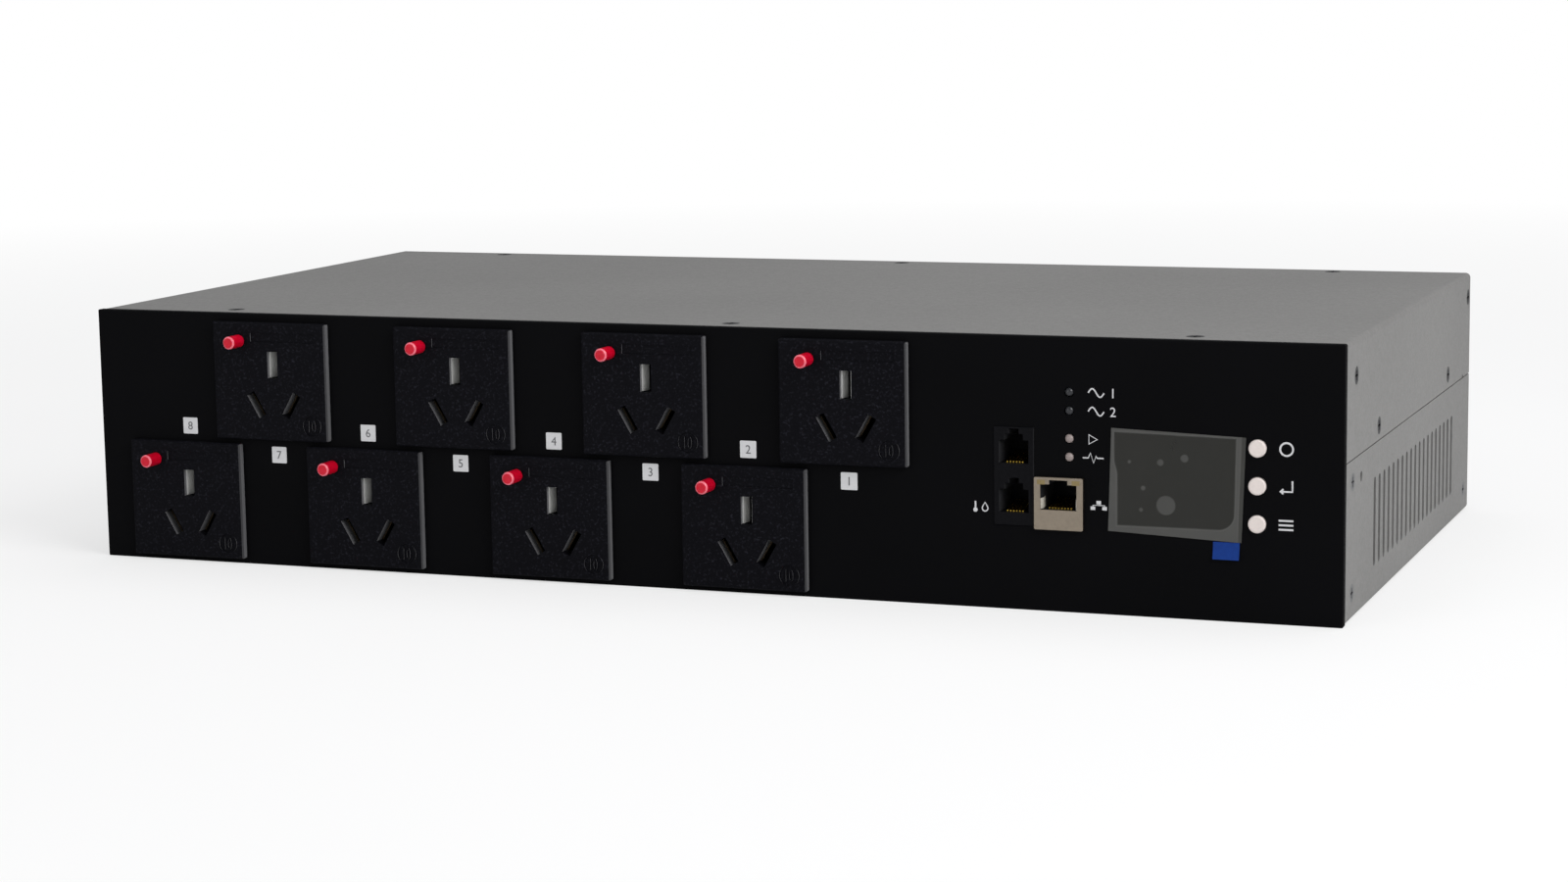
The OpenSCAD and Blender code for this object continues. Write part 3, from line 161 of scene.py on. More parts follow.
def socket_plastic():
    """Black polycarbonate: spark-eroded grain on the face with paler specks as painted glints, and
    painted light on the sides and slot walls that face +X.
    """
    material, tree, shader, here = begin("grained black polycarbonate", IOR=1.58, Specular_IOR_Level=0.03)
    grain = add(tree, "TexNoise", Vector=here, Scale=1.1 * PER_MM, Detail=4.0, Roughness=0.7)
    glints = add(tree, "MapRange", Value=grain.outputs["Fac"], From_Min=0.54, From_Max=0.74)
    face = add(tree, "Mix", {"data_type": "RGBA"}, Factor=glints.outputs["Result"],
               A_Color=rgb("0b0b0f"), B_Color=rgb("26262d"))
    # Painted light: the sides and slot walls stand square to the face, and those turned to +X, towards
    # the key lamp, get a paler tone; their normal lies along X
    normal = add(tree, "SeparateXYZ", Vector=add(tree, "NewGeometry").outputs["Normal"])
    side = add(tree, "MapRange", Value=normal.outputs["X"], From_Min=0.6, From_Max=0.9)
    color = add(tree, "Mix", {"data_type": "RGBA"}, Factor=side.outputs["Result"],
                A_Color=face.outputs[COLOR], B_Color=rgb("646466"))
    relief = add(tree, "Bump", Height=grain.outputs["Fac"], Strength=0.5, Distance=0.08 * MM)
    feed(tree, shader, Base_Color=color.outputs[COLOR], Roughness=0.55, Normal=relief.outputs["Normal"])
    return material


def black_nylon():
    """Moulded black nylon of the jacks and inlets: smoother than the outlets, with a soft sheen and
    painted light on faces turned to +X.
    """
    material, tree, shader, here = begin("moulded black nylon", IOR=1.53, Specular_IOR_Level=0.04)
    grain = add(tree, "TexNoise", Vector=here, Scale=0.9 * PER_MM, Detail=2.0)
    color = add(tree, "Mix", {"data_type": "RGBA"}, Factor=grain.outputs["Fac"],
                A_Color=rgb("09090b"), B_Color=rgb("121215"))
    # Painted light: faces turned to +X, towards the key lamp, get a paler tone
    normal = add(tree, "SeparateXYZ", Vector=add(tree, "NewGeometry").outputs["Normal"])
    side = add(tree, "MapRange", Value=normal.outputs["X"], From_Min=0.6, From_Max=0.9)
    with_painted_light = add(tree, "Mix", {"data_type": "RGBA"}, Factor=side.outputs["Result"],
                A_Color=color.outputs[COLOR], B_Color=rgb("2c2c2e"))
    relief = add(tree, "Bump", Height=grain.outputs["Fac"], Strength=0.2, Distance=0.03 * MM)
    feed(tree, shader, Base_Color=with_painted_light.outputs[COLOR], Roughness=0.45, Normal=relief.outputs["Normal"])
    return material


def red_lens():
    """Clear red acrylic: deep red on its flat tip, with a painted highlight in pale pink on its bevel."""
    material, tree, shader, here = begin("red acrylic", IOR=1.49, Roughness=0.3, Specular_IOR_Level=0.25,
                                         Coat_Weight=0.15, Coat_Roughness=0.15, Subsurface_Weight=0.2,
                                         Subsurface_Scale=1.5 * MM)
    streaks = add(tree, "TexNoise", Vector=here, Scale=0.7 * PER_MM, Detail=1.0)
    body = add(tree, "Mix", {"data_type": "RGBA"}, Factor=streaks.outputs["Fac"],
               A_Color=rgb("b80018"), B_Color=rgb("cf0830"))
    # Painted highlight: only the bevel's faces lean halfway between the lens's axis and its side, and
    # they get a pale pink
    normal = add(tree, "SeparateXYZ", Vector=add(tree, "NewGeometry").outputs["True Normal"])
    lean = add(tree, "Math", {"operation": "ABSOLUTE"}, Value=normal.outputs["Y"])
    rise = add(tree, "MapRange", Value=lean.outputs["Value"], From_Min=0.4, From_Max=0.6)
    fall = add(tree, "MapRange", Value=lean.outputs["Value"], From_Min=0.8, From_Max=0.95,
               To_Min=1.0, To_Max=0.0)
    bevel = add(tree, "Math", {"operation": "MULTIPLY"}, Value=rise.outputs["Result"],
                Value_001=fall.outputs["Result"])
    color = add(tree, "Mix", {"data_type": "RGBA"}, Factor=bevel.outputs["Value"],
                A_Color=body.outputs[COLOR], B_Color=rgb("e8707f"))
    relief = add(tree, "Bump", Height=streaks.outputs["Fac"], Strength=0.1, Distance=0.05 * MM)
    feed(tree, shader, Base_Color=color.outputs[COLOR], Normal=relief.outputs["Normal"])
    return material


def metal(name, low, high, roughness, grit):
    """A metal whose colour and gloss wander a little between two shades, with marks of size grit."""
    material, tree, shader, here = begin(name, Metallic=1.0)
    marks = add(tree, "TexNoise", Vector=here, Scale=PER_MM / grit, Detail=3.0, Roughness=0.6)
    color = add(tree, "Mix", {"data_type": "RGBA"}, Factor=marks.outputs["Fac"],
                A_Color=rgb(low), B_Color=rgb(high))
    rough = add(tree, "MapRange", Value=marks.outputs["Fac"], From_Min=0.3, From_Max=0.7,
                To_Min=roughness - 0.06, To_Max=roughness + 0.06)
    relief = add(tree, "Bump", Height=marks.outputs["Fac"], Strength=0.2, Distance=0.02 * MM)
    feed(tree, shader, Base_Color=color.outputs[COLOR], Roughness=rough.outputs["Result"],
         Normal=relief.outputs["Normal"])
    return material


def contact_metal(name, bright, deep_shade, mouth):
    """A contact spring: bright at its mouth, with near black painted shade from a depth of `mouth` behind
    the face.
    """
    material, tree, shader, here = begin(name, Metallic=0.55, Roughness=0.42)
    marks = add(tree, "TexNoise", Vector=here, Scale=1.2 * PER_MM, Detail=3.0)
    shine = add(tree, "Mix", {"data_type": "RGBA"}, Factor=marks.outputs["Fac"],
                A_Color=rgb(bright[0]), B_Color=rgb(bright[1]))
    depth = add(tree, "SeparateXYZ", Vector=here)
    share = add(tree, "MapRange", Value=depth.outputs["Y"], From_Min=OUTLET_FACE + mouth,
                From_Max=OUTLET_FACE + mouth + 0.8 * MM)
    color = add(tree, "Mix", {"data_type": "RGBA"}, Factor=share.outputs["Result"],
                A_Color=shine.outputs[COLOR], B_Color=rgb(deep_shade))
    relief = add(tree, "Bump", Height=marks.outputs["Fac"], Strength=0.2, Distance=0.02 * MM)
    feed(tree, shader, Base_Color=color.outputs[COLOR], Normal=relief.outputs["Normal"])
    return material


def plastic(name, low, high, roughness, grit, gloss=0.5):
    """A plain moulding between two near shades, with a skin of grit-sized ripples."""
    material, tree, shader, here = begin(name, IOR=1.5, Specular_IOR_Level=gloss)
    skin = add(tree, "TexNoise", Vector=here, Scale=PER_MM / grit, Detail=2.0)
    color = add(tree, "Mix", {"data_type": "RGBA"}, Factor=skin.outputs["Fac"],
                A_Color=rgb(low), B_Color=rgb(high))
    relief = add(tree, "Bump", Height=skin.outputs["Fac"], Strength=0.15, Distance=0.03 * MM)
    feed(tree, shader, Base_Color=color.outputs[COLOR], Roughness=roughness,
         Normal=relief.outputs["Normal"])
    return material


def film_plastic():
    """Clear film, paler with painted sheen where it has lifted, over folds and over trapped air."""
    material, tree, shader, here = begin("clear film with painted sheen", IOR=1.5, Roughness=0.32,
                                         Specular_IOR_Level=0.2, Alpha=0.9)
    painted_sheen = add(tree, "Attribute", {"attribute_name": "painted_sheen"})
    cloud = add(tree, "TexNoise", Vector=here, Scale=120.0, Detail=3.0)
    sheen_tone = add(tree, "Mix", {"data_type": "RGBA"}, Factor=painted_sheen.outputs["Fac"],
               A_Color=rgb("2b2b28"), B_Color=rgb("646462"))
    mottled = add(tree, "Mix", {"data_type": "RGBA", "blend_type": "MULTIPLY"}, Factor=0.12,
                  A_Color=sheen_tone.outputs[COLOR], B_Color=cloud.outputs["Fac"])
    feed(tree, shader, Base_Color=mottled.outputs[COLOR])
    return material


case_coat = case_paint()
panel_coat = panel_paint()
outlet_black = socket_plastic()
jack_black = black_nylon()
lens_red = red_lens()
# Brackets, rail and nuts: pale grey with broad soft marks
zinc = metal("zinc plate", "8f9194", "a9abae", 0.42, 2.0)
# Screws of the brackets, the rear wall and the inlets: mid grey
screw_zinc = metal("grey zinc screw", "565759", "717274", 0.45, 0.8)
# Screws of the cover: nearly black against the paint
screw_black = metal("near black cover screw", "1c1c1e", "2a2a2c", 0.5, 0.8)
# Inlet pins: light and fairly glossy
nickel = metal("nickel plate", "c4c4c2", "dededb", 0.34, 1.0)
# Earth clips: a bright strip just inside the slot, painted shade deeper in
earth_spring = contact_metal("nickel plated spring", ("cfcfcd", "e6e6e3"), "121212", 4.6 * MM)
# Live and neutral clips: tarnished brown, soon lost in painted shade
bronze = contact_metal("phosphor bronze spring", ("3a3022", "4a3d2a"), "100d09", 4.0 * MM)
# Busbars: warm red-brown
copper = metal("copper strip", "a5623a", "c07a4c", 0.4, 3.0)
# Shell of the network jack: a warm dull grey
tin = metal("tin plated brass", "80766a", "9a8f80", 0.4, 1.5)
# Side springs of the network jack: tin drawn as a pale matt moulding, paler than its shell; the paleness
# is a painted highlight
tin_spring_highlight = plastic("tinned spring, painted highlight", "b8b4aa", "cfcbc0", 0.35, 0.8)
# Wires of the jacks: glossy yellow
gold = metal("gold plated wire", "c9a23a", "e6c25c", 0.25, 0.6)
# Board spacers: yellow-brown, fine turning marks
brass = metal("turned brass", "b08a45", "cfa75c", 0.32, 0.8)
# Heat sink: pale grey
extrusion = metal("extruded aluminium", "9a9da0", "b3b6b8", 0.4, 1.2)
# Number stickers: off-white and flat
label_white = plastic("white vinyl label", "c6c6c8", "d0d0d1", 0.6, 0.5, 0.2)
# Numbers on the stickers: mid grey, not black
ink_grey = plastic("grey label ink", "5c5c5e", "6c6c6e", 0.6, 0.4, 0.2)
# Signs on the panel: light grey and flat
ink_white = plastic("white screen print", "bcbcbe", "d2d2d4", 0.6, 0.5, 0.2)
# Unlit lamps of the network jack: dull amber
lamp_amber = plastic("amber light pipe", "6c5a34", "8a7a4c", 0.3, 0.8)
# Unlit source lamps: nearly lost in the panel, with a small highlight
smoked = plastic("smoked lens", "1c1d20", "27282c", 0.2, 0.8, 0.4)
# Unlit status lamps: a cloudy pinkish grey
milky = plastic("milky lens", "857a78", "968a87", 0.3, 0.5, 0.3)
# Display: dark grey and smooth
screen_glass = plastic("dark display glass", "2c2c2a", "323230", 0.15, 4.0, 0.3)
# Key caps: warm white
key_white = plastic("white key cap", "d4cac5", "e0d6d1", 0.4, 0.6, 0.25)
# Switches and plungers: dark grey
switch_dark = plastic("dark switch moulding", "2c2e32", "3a3c40", 0.5, 0.6)
# Tab of the film: strong blue, hardly shiny
tab_film = plastic("blue pull tab", "072a6e", "0a3682", 0.45, 1.5, 0.15)
# Boards: dark green
board_green = plastic("green circuit board", "17492d", "1f5f3a", 0.4, 1.0)
# Thyristor modules: dull near black
epoxy = plastic("filled epoxy moulding", "26272b", "323338", 0.55, 0.7)
# Relays: muted blue
relay_blue = plastic("blue relay case", "2f3f6d", "3c4d80", 0.4, 0.8)
# Transformers: brown varnish
core_varnish = plastic("varnished core", "58402a", "705236", 0.5, 0.5)
film_finish = film_plastic()

FINISHES = {
    "case_paint": case_coat, "panel_paint": panel_coat, "zinc_steel": zinc, "screw_steel": screw_zinc,
    "outlet_plastic": outlet_black, "lamp_red": lens_red, "nickel_contact": earth_spring,
    "brass_contact": bronze, "copper_bar": copper, "sticker_paper": label_white,
    "jack_plastic": jack_black, "jack_shell": tin, "jack_lamp": lamp_amber, "contact_gold": gold,
    "led_smoked": smoked, "led_milky": milky, "display_glass": screen_glass, "film_clear": screen_glass,
    "tab_blue": tab_film, "key_white": key_white, "switch_plastic": switch_dark,
    "board_green": board_green, "spacer_brass": brass, "sink_aluminium": extrusion,
    "module_plastic": epoxy, "relay_plastic": relay_blue, "transformer_steel": core_varnish,
    "inlet_plastic": jack_black, "pin_nickel": nickel,
}


def dress_solids():
    """Gives every CAD node the finish of its slot in the record; the cover's screws are blackened."""
    for part in frame["record"]["subparts"]:
        finish = screw_black if part["node"] == "cover_screws" else FINISHES[part["material_slot"]]
        for place in frame["nodes"][part["node"]].material_slots:
            place.material = finish


# ---------------------------------------------------------------- shapes

INK = 0.05 * MM      # how far printing and the stickers' ink stand out


def piece(name, shapes, finish, body="root", instead=(), smooth=0):
    """Joins shapes into one object of one finish that rides on a body and may stand for CAD nodes."""
    whole = bmesh.new()
    for shape in shapes:
        part = bpy.data.meshes.new("part")
        shape.to_mesh(part)
        shape.free()
        whole.from_mesh(part)
        bpy.data.meshes.remove(part)
    bmesh.ops.recalc_face_normals(whole, faces=whole.faces)
    for face in whole.faces:
        face.smooth = smooth > 0
    for edge in whole.edges:
        edge.smooth = len(edge.link_faces) == 2 and edge.calc_face_angle() < math.radians(smooth)
    mesh = bpy.data.meshes.new(name)
    whole.to_mesh(mesh)
    whole.free()
    item = bpy.data.objects.new(name, mesh)
    bpy.context.collection.objects.link(item)
    mesh.materials.append(finish)
    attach(item, body)
    if instead:
        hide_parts(*instead)
    return item


def plate(x, z, width, height, corner, back, thickness):
    """A plate with rounded corners whose back lies at one depth and whose face looks to the front."""
    shape = bmesh.new()
    bmesh.ops.create_grid(shape, x_segments=1, y_segments=1, size=0.5)
    bmesh.ops.scale(shape, vec=(width, height, 1), verts=shape.verts)
    bmesh.ops.rotate(shape, matrix=Matrix.Rotation(math.pi / 2, 3, "X"), verts=shape.verts)
    bmesh.ops.translate(shape, vec=(x, back, z), verts=shape.verts)
    if corner:
        bmesh.ops.bevel(shape, geom=shape.verts[:], offset=corner, segments=5, profile=0.5,
                        affect="VERTICES", material=-1)
    risen = bmesh.ops.extrude_face_region(shape, geom=shape.faces[:])["geom"]
    bmesh.ops.translate(shape, vec=(0, -thickness, 0),
                        verts=[v for v in risen if isinstance(v, bmesh.types.BMVert)])
    bmesh.ops.remove_doubles(shape, verts=shape.verts, dist=1e-7)
    return shape


def turned(profile, x, z, steps=40):
    """A profile of (radius, depth) points spun round a line that runs front to back through x, z."""
    shape = bmesh.new()
    line = [shape.verts.new((x + radius, depth, z)) for radius, depth in profile]
    edges = [shape.edges.new(pair) for pair in zip(line, line[1:])]
    bmesh.ops.spin(shape, geom=line + edges, cent=(x, 0, z), axis=(0, 1, 0), angle=math.tau,
                   steps=steps, use_merge=True)
    bmesh.ops.remove_doubles(shape, verts=shape.verts, dist=1e-7)
    return shape


def from_curve(curve):
    """The bmesh of a curve or of text."""
    item = bpy.data.objects.new("curve", curve)
    mesh = bpy.data.meshes.new_from_object(item)
    shape = bmesh.new()
    shape.from_mesh(mesh)
    bmesh.ops.remove_doubles(shape, verts=shape.verts, dist=1e-7)
    bpy.data.objects.remove(item)
    bpy.data.curves.remove(curve)
    bpy.data.meshes.remove(mesh)
    return shape


def pen(points, width, back=None, thickness=INK, closed=False):
    """A printed line with round edges through points (x, z), flat against the depth `back`."""
    curve = bpy.data.curves.new("line", "CURVE")
    curve.dimensions = "3D"
    curve.bevel_depth = width / 2
    curve.bevel_resolution = 2
    curve.use_fill_caps = True
    line = curve.splines.new("POLY")
    line.points.add(len(points) - 1)
    line.use_cyclic_u = closed
    for spot, (x, z) in zip(line.points, points):
        spot.co = (x, 0, z, 1)
    shape = from_curve(curve)
    bmesh.ops.scale(shape, vec=(1, 2 * thickness / width, 1), verts=shape.verts)
    bmesh.ops.translate(shape, vec=(0, FRONT if back is None else back, 0), verts=shape.verts)
    return shape


def arc(x, z, radius, first, last, steps):
    """Points (x, z) on a part of a circle, its angles in degrees."""
    turns = [math.radians(first + (last - first) * i / steps) for i in range(steps + 1)]
    return [(x + radius * math.cos(t), z + radius * math.sin(t)) for t in turns]


def figures(text, x, z, height, back, thickness, stretch=1.0):
    """Numbers that stand out from the depth `back`, their middle at x, z."""
    curve = bpy.data.curves.new("figures", "FONT")
    curve.body = text
    curve.size = 1.4 * height
    curve.extrude = thickness / 2
    curve.resolution_u = 4
    shape = from_curve(curve)
    low = [min(v.co[i] for v in shape.verts) for i in (0, 1)]
    high = [max(v.co[i] for v in shape.verts) for i in (0, 1)]
    bmesh.ops.translate(shape, vec=(-(low[0] + high[0]) / 2, -(low[1] + high[1]) / 2, 0),
                        verts=shape.verts)
    bmesh.ops.scale(shape, vec=(stretch, 1, 1), verts=shape.verts)
    bmesh.ops.rotate(shape, matrix=Matrix.Rotation(math.pi / 2, 3, "X"), verts=shape.verts)
    bmesh.ops.translate(shape, vec=(x, back - thickness / 2, z), verts=shape.verts)
    return shape


# ---------------------------------------------------------------- outlets


def middle(node):
    """The x and z of a node's middle."""
    low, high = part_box(node)
    return (low.x + high.x) / 2, (low.z + high.z) / 2


OUTLETS = [middle(f"outlet_{n}") for n in range(1, 9)]
STICKER_SIDE = 5.7 * MM
STICKER_CORNER = 0.35 * MM
STICKER_THICK = 0.12 * MM
STICKER_SHIFT = 1.3 * MM      # to the right of its outlet's middle
STICKER_REACH = 25.8 * MM     # below or above its outlet's middle
row_middle = sum(z for _, z in OUTLETS) / 8
labels, numbers, ratings = [], [], []
for n, (x, z) in enumerate(OUTLETS, 1):
    spot = (x + STICKER_SHIFT, z - STICKER_REACH if z > row_middle else z + STICKER_REACH)
    labels.append(plate(*spot, STICKER_SIDE, STICKER_SIDE, STICKER_CORNER, FRONT, STICKER_THICK))
    numbers.append(figures(str(n), *spot, 2.9 * MM, FRONT - STICKER_THICK, INK))
    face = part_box(f"outlet_{n}")[0].y
    disc = (x + 15.9 * MM, z - 15 * MM)
    ratings.append(figures("10", *disc, 4.2 * MM, face, 0.18 * MM, 0.62))
    ratings.append(pen(arc(*disc, 3.45 * MM, 0, 345, 32), 0.22 * MM, face, 0.1 * MM, closed=True))
piece("number_labels", labels, label_white, instead=["number_stickers"])
piece("label_figures", numbers, ink_grey)
piece("rating_figures", ratings, outlet_black)

# ---------------------------------------------------------------- printed signs

STROKE = 0.45 * MM
KEY_STROKE = 0.6 * MM
signs = []


def sign_lines(x, z, lines, width=STROKE):
    """Prints lines whose points are millimetres from the place x, z in metres."""
    for points in lines:
        signs.append(pen([(x + px * MM, z + pz * MM) for px, pz in points], width))


# Back: a ring. Enter: a bent arrow. Function: three bars.
key_x, key_high = middle("back_button")
_, key_mid = middle("enter_button")
_, key_low = middle("function_button")
marks_x = key_x + 9.0 * MM
signs.append(pen(arc(marks_x, key_high, 2.0 * MM, 0, 345, 32), KEY_STROKE, closed=True))
sign_lines(marks_x, key_mid, [[(1.9, 2.0), (1.9, -1.4), (-1.9, -1.4)],
                              [(-0.9, -0.6), (-1.9, -1.4), (-0.9, -2.1)]], KEY_STROKE)
sign_lines(marks_x, key_low, [[(-2.3, h), (2.3, h)] for h in (-1.4, 0, 1.4)], KEY_STROKE)

# Sources: a wave and a number each
led_x, _ = middle("status_leds")
source_box, status_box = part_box("source_leds"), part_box("status_leds")
led_r = (source_box[1].x - source_box[0].x) / 2
for number, z in ((1, source_box[1].z - led_r), (2, source_box[0].z + led_r)):
    start = led_x + 6.2 * MM
    wave = [(start + i * 0.32 * MM, z + 1.35 * MM * math.sin(i * math.tau / 16)) for i in range(17)]
    signs.append(pen(wave, STROKE))
    signs.append(figures(str(number), start + 8.0 * MM, z, 3.1 * MM, FRONT, INK))
# Running: a triangle that points on. State: a pulse.
run_x, run_z = led_x + 7.6 * MM, status_box[1].z - led_r
signs.append(pen([(run_x - 1.2 * MM, run_z + 1.5 * MM), (run_x - 1.2 * MM, run_z - 1.5 * MM),
                  (run_x + 1.5 * MM, run_z)], STROKE, closed=True))
sign_lines(led_x + 7.8 * MM, status_box[0].z + led_r,
           [[(-3.4, 0), (-1.6, 0), (-0.9, 1.6), (0.1, -1.6), (0.9, 0.6), (1.3, 0), (3.4, 0)]])

# Network: three linked boxes
net_x, net_z = middle("network_jack_shell")
net_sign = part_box("network_jack_shell")[1].x + 3.0 * MM
for dx, dz in ((1.9, 0.9), (0, -0.95), (3.8, -0.95)):
    signs.append(plate(net_sign + dx * MM, net_z + dz * MM, 1.5 * MM, 1.1 * MM, 0, FRONT, INK))
sign_lines(net_sign, net_z, [[(1.9, 0.9), (1.9, 0), (0, 0), (0, -0.9)],
                             [(1.9, 0), (3.8, 0), (3.8, -0.9)]], 0.3 * MM)

# Sensors: a thermometer and a drop
sensor_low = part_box("sensor_jack")[0]
gauge = (sensor_low.x - 6.3 * MM, sensor_low.z + 6.3 * MM)
sign_lines(*gauge, [[(0, 1.7), (0, -0.6)]], 0.55 * MM)
bulb = [(0, FRONT - INK), (0.72 * MM, FRONT - INK), (0.72 * MM, FRONT)]
signs.append(turned(bulb, gauge[0], gauge[1] - 1.1 * MM, 24))
drop = (gauge[0] + 3.2 * MM, gauge[1] - 0.5 * MM)
drop_line = [(drop[0], drop[1] + 1.9 * MM)] + arc(*drop, 0.95 * MM, 30, -210, 16)
signs.append(pen(drop_line, 0.4 * MM, closed=True))
piece("printed_signs", signs, ink_white)

# ---------------------------------------------------------------- keys

CAP_R = 2.75 * MM
CAP_BACK = FRONT + 0.4 * MM     # the skin's rear end, just behind the panel's face

for key in ("function", "enter", "back"):
    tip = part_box(f"{key}_button")[0].y
    x, z = middle(f"{key}_button")
    dome = [(CAP_R * math.sin(a), tip + CAP_R * 0.22 * (1 - math.cos(a)) ** 0.9)
            for a in [math.radians(90 * i / 10) for i in range(11)]]
    profile = dome + [(CAP_R, CAP_BACK), (0, CAP_BACK)]
    piece(f"{key}_cap_skin", [turned(profile, x, z)], key_white, body=f"{key}_key",
          smooth=50)

# ---------------------------------------------------------------- protective film

# Millimetres on the panel from here to the film's mesh
FILM = [(147.4, 59.8), (190.4, 58.3), (189.1, 25.2), (146.4, 27.0)]     # corners from the top left round
STUCK_LEFT, STUCK_RIGHT, STUCK_TOP, STUCK_LOW = 149.3, 187.3, 58.6, 28.9   # where it clings
STUCK_CORNER = 5.0
FOLD_X = 188.8      # the folded strip on the right begins here
# Trapped air: across, up, radius
BUBBLES = [(165.0, 35.9, 3.1), (170.9, 51.0, 1.3), (163.2, 49.4, 1.1), (153.2, 49.3, 0.6),
           (157.7, 41.1, 0.8), (157.0, 34.2, 0.7)]


def smooth_step(value, low, high):
    """0 below low, 1 above high and an even S between them."""
    share = min(max((value - low) / (high - low), 0), 1)
    return share * share * (3 - 2 * share)


def film_state(x, z):
    """How far the film lifts at a place, as a share, and how much painted sheen it gets there."""
    left = x - (STUCK_LEFT - smooth_step(z, 45, 50))
    right = STUCK_RIGHT - 0.02 * (59 - z) - x
    top = STUCK_TOP - 0.02 * (x - 148) - z
    bottom = z - STUCK_LOW
    if right < STUCK_CORNER and bottom < STUCK_CORNER:
        inside = STUCK_CORNER - math.hypot(STUCK_CORNER - right, STUCK_CORNER - bottom)
    else:
        inside = min(left, right, top, bottom)
    lift = 1 - smooth_step(inside, -0.25, 0.2)
    # A painted highlight runs along the edge of the stuck part
    ridge = math.exp(-((inside + 0.1) / 0.22) ** 2)
    painted_sheen = 0.55 * lift + 0.25 * ridge
    # The outer strip on the right is a second layer, folded over: a painted highlight along the fold,
    # less painted sheen beyond it
    fold = x - (FOLD_X - 0.03 * (59 - z))
    painted_sheen += 0.2 * math.exp(-(fold / 0.15) ** 2) - 0.3 * smooth_step(fold, 0.1, 0.3)
    # Trapped air: painted sheen over each bubble, which also lifts the film
    for bx, bz, size in BUBBLES:
        away = math.hypot(x - bx, z - bz)
        blister = 1 - smooth_step(away, size - 0.25, size + 0.1)
        painted_sheen += 0.45 * blister
        lift += 0.6 * blister * (1 - (away / (size + 0.2)) ** 2 if away < size else 0)
    return lift, painted_sheen


def protective_film():
    """Film over the display: stuck down in the middle, lifted at its edges and over trapped air."""
    shape = bmesh.new()
    bmesh.ops.create_grid(shape, x_segments=150, y_segments=120, size=0.5)
    tl, tr, br, bl = FILM
    layer = shape.verts.layers.float.new("painted_sheen")
    for v in shape.verts:
        u, t = v.co.x + 0.5, v.co.y + 0.5
        x = (tl[0] * (1 - u) + tr[0] * u) * t + (bl[0] * (1 - u) + br[0] * u) * (1 - t)
        z = (tl[1] * (1 - u) + tr[1] * u) * t + (bl[1] * (1 - u) + br[1] * u) * (1 - t)
        lift, painted_sheen = film_state(x, z)
        v.co = (x * MM, FRONT - (0.12 + 0.13 * lift) * MM, z * MM)
        v[layer] = painted_sheen
    return shape


film = piece("protective_film", [protective_film()], film_finish,
             instead=["screen_film"], smooth=60)

tab_low, tab_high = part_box("film_tab")


def pull_tab():
    """Coloured tab of the film, curling a little away from the panel towards its free end."""
    shape = bmesh.new()
    bmesh.ops.create_grid(shape, x_segments=10, y_segments=14, size=0.5)
    for v in shape.verts:
        u, t = v.co.x + 0.5, 0.5 - v.co.y
        curl = 0.15 + 0.9 * t ** 1.8 + 0.12 * u * t
        v.co = (tab_low.x + u * (tab_high.x - tab_low.x), FRONT - curl * MM,
                tab_high.z - t * (tab_high.z - tab_low.z))
    return shape


tab = piece("pull_tab", [pull_tab()], tab_film, instead=["film_tab"], smooth=60)
for item in (film, tab):
    item.modifiers.new("thickness", "SOLIDIFY").thickness = 0.06 * MM

# ---------------------------------------------------------------- network jack springs

jack_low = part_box("network_jack_shell")[0]
springs = []
for side in (-1, 1):
    shape = bmesh.new()
    bmesh.ops.create_grid(shape, x_segments=2, y_segments=12, size=0.5)
    for v in shape.verts:
        t = 0.5 - v.co.y
        bow = 0.45 * math.sin(math.pi * min(t * 1.15, 1))
        v.co = (net_x + side * (5.85 - bow) * MM, jack_low.y + (0.3 + 5.4 * t) * MM,
                jack_low.z + (8.3 + 3.4 * v.co.x) * MM)
    springs.append(shape)
spring = piece("jack_springs", springs, tin_spring_highlight, smooth=60)
spring.modifiers.new("thickness", "SOLIDIFY").thickness = 0.15 * MM

# ---------------------------------------------------------------- stage and camera


def set_camera():
    """A long lens from the right and a little above, rolled by under a degree."""
    camera = bpy.data.objects.new("camera", bpy.data.cameras.new("camera"))
    bpy.context.collection.objects.link(camera)
    camera.location = (0.4173, -1.0983, 0.2081)
    aim = Vector((-0.0105, 0.0089, 0.0315))
    roll = math.radians(-0.87)
    turn = (aim - camera.location).to_track_quat("-Z", "Y").to_matrix()
    camera.rotation_euler = (turn @ Matrix.Rotation(roll, 3, "Z")).to_euler()
    camera.data.lens = 75.12
    camera.data.sensor_width = 36
    camera.data.clip_start = 0.05
    bpy.context.scene.camera = camera


def soft_lamp(name, place, aim, size, watts):
    """A square soft box that faces a point."""
    lamp = bpy.data.lights.new(name, "AREA")
    lamp.size = size
    lamp.energy = watts
    body = bpy.data.objects.new(name, lamp)
    bpy.context.collection.objects.link(body)
    body.location = place
    body.rotation_euler = (Vector(aim) - Vector(place)).to_track_quat("-Z", "Y").to_euler()


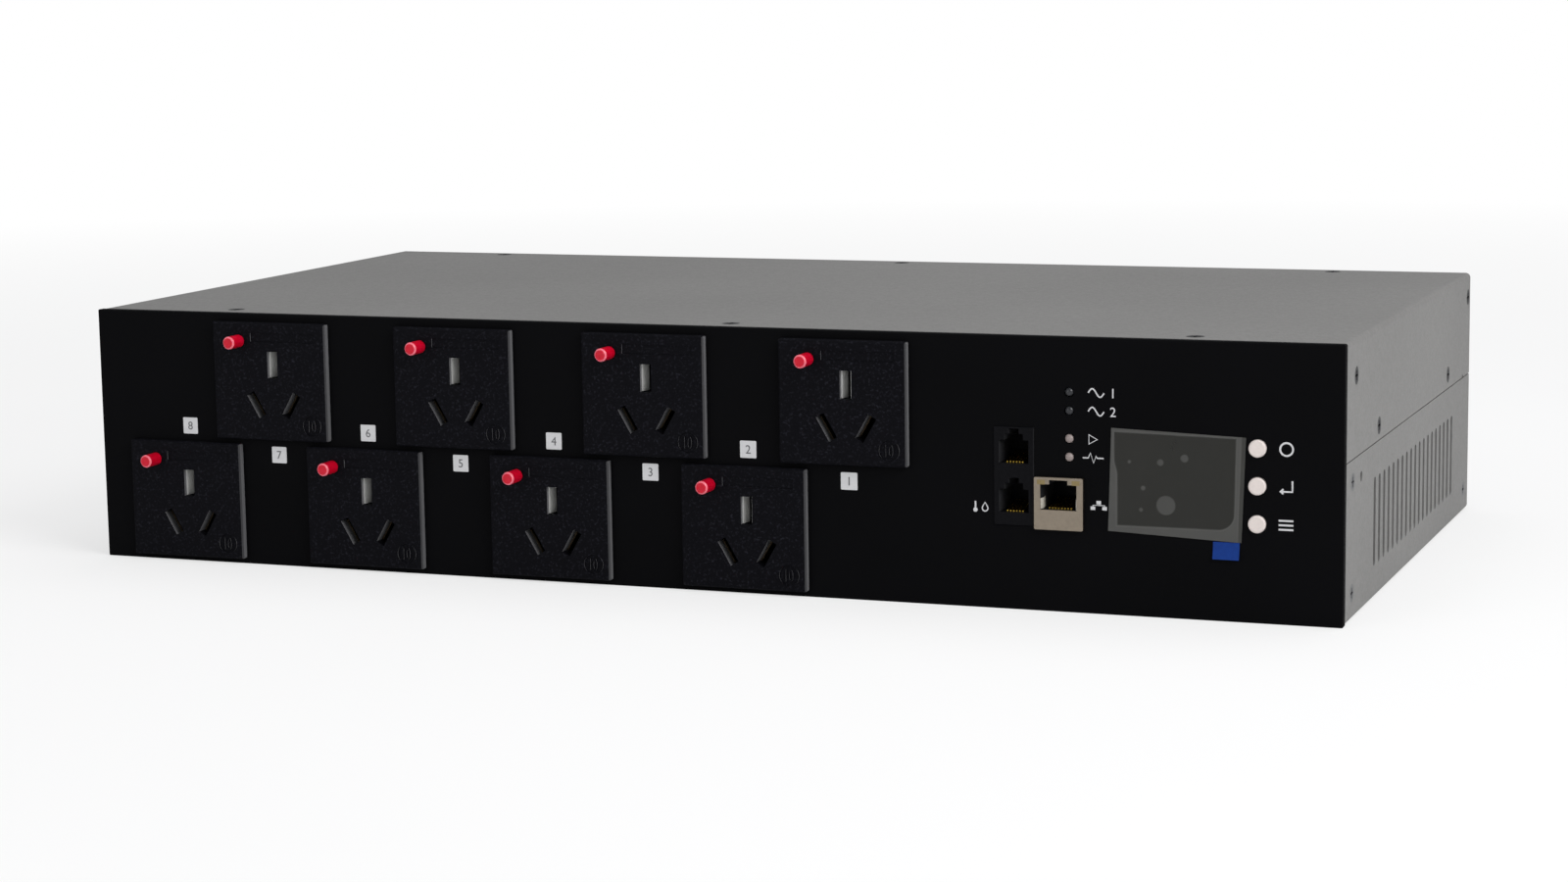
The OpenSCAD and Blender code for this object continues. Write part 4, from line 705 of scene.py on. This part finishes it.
def set_world():
    """White surroundings for the eye, softer grey light for the object."""
    world = bpy.data.worlds.new("studio")
    bpy.context.scene.world = world
    world.use_nodes = True
    tree = world.node_tree
    path = add(tree, "LightPath")
    seen = add(tree, "Math", {"operation": "MAXIMUM"}, Value=path.outputs["Is Camera Ray"],
               Value_001=path.outputs["Is Transmission Ray"])
    plain = feed(tree, tree.nodes["Background"], Color=rgb("f2f3f5"), Strength=0.5)
    white = add(tree, "Background", Color=WHITE, Strength=1.0)
    both = add(tree, "MixShader", Fac=seen.outputs["Value"], Shader=plain.outputs["Background"],
               Shader_001=white.outputs["Background"])
    feed(tree, tree.nodes["World Output"], Surface=both.outputs["Shader"])


def pale_floor():
    """Near white floor: it keeps its shadow close to the object and runs into the white far off."""
    material, tree, shader, here = begin("pale floor", Roughness=0.9, Specular_IOR_Level=0.05)
    tone = add(tree, "TexNoise", Vector=here, Scale=3.0)
    color = add(tree, "Mix", {"data_type": "RGBA"}, Factor=tone.outputs["Fac"],
                A_Color=rgb("eeeeee"), B_Color=rgb("f4f4f4"))
    feed(tree, shader, Base_Color=color.outputs[COLOR])
    glow = add(tree, "Emission", Color=WHITE, Strength=1.0)
    away = add(tree, "VectorMath", {"operation": "LENGTH"}, Vector=here)
    reach = add(tree, "MapRange", Value=away.outputs["Value"], From_Min=0.5, From_Max=1.6,
                To_Min=0.6, To_Max=1.0)
    share = add(tree, "Math", {"operation": "MULTIPLY"}, Value=reach.outputs["Result"],
                Value_001=add(tree, "LightPath").outputs["Is Camera Ray"])
    both = add(tree, "MixShader", Fac=share.outputs["Value"], Shader=shader.outputs["BSDF"],
               Shader_001=glow.outputs["Emission"])
    feed(tree, tree.nodes["Material Output"], Surface=both.outputs["Shader"])
    return material


def set_stage():
    """The surroundings, three soft boxes and the floor."""
    set_world()
    soft_lamp("key", (1.45, -0.7, 1.15), (0.1, 0, 0.05), 1.2, 24)
    soft_lamp("top", (0.2, 0.35, 1.8), (0.1, 0, 0.05), 1.6, 9)
    soft_lamp("fill", (-0.9, -1.6, 0.7), (0, 0, 0.05), 1.2, 6)
    mesh = bpy.data.meshes.new("floor")
    shape = bmesh.new()
    bmesh.ops.create_grid(shape, x_segments=1, y_segments=1, size=12.0)
    shape.to_mesh(mesh)
    shape.free()
    floor = bpy.data.objects.new("floor", mesh)
    floor.location.z = cad_low[2]
    bpy.context.collection.objects.link(floor)
    mesh.materials.append(pale_floor())


scene = bpy.context.scene
scene.view_settings.view_transform = "Standard"
set_camera()
set_stage()
dress_solids()
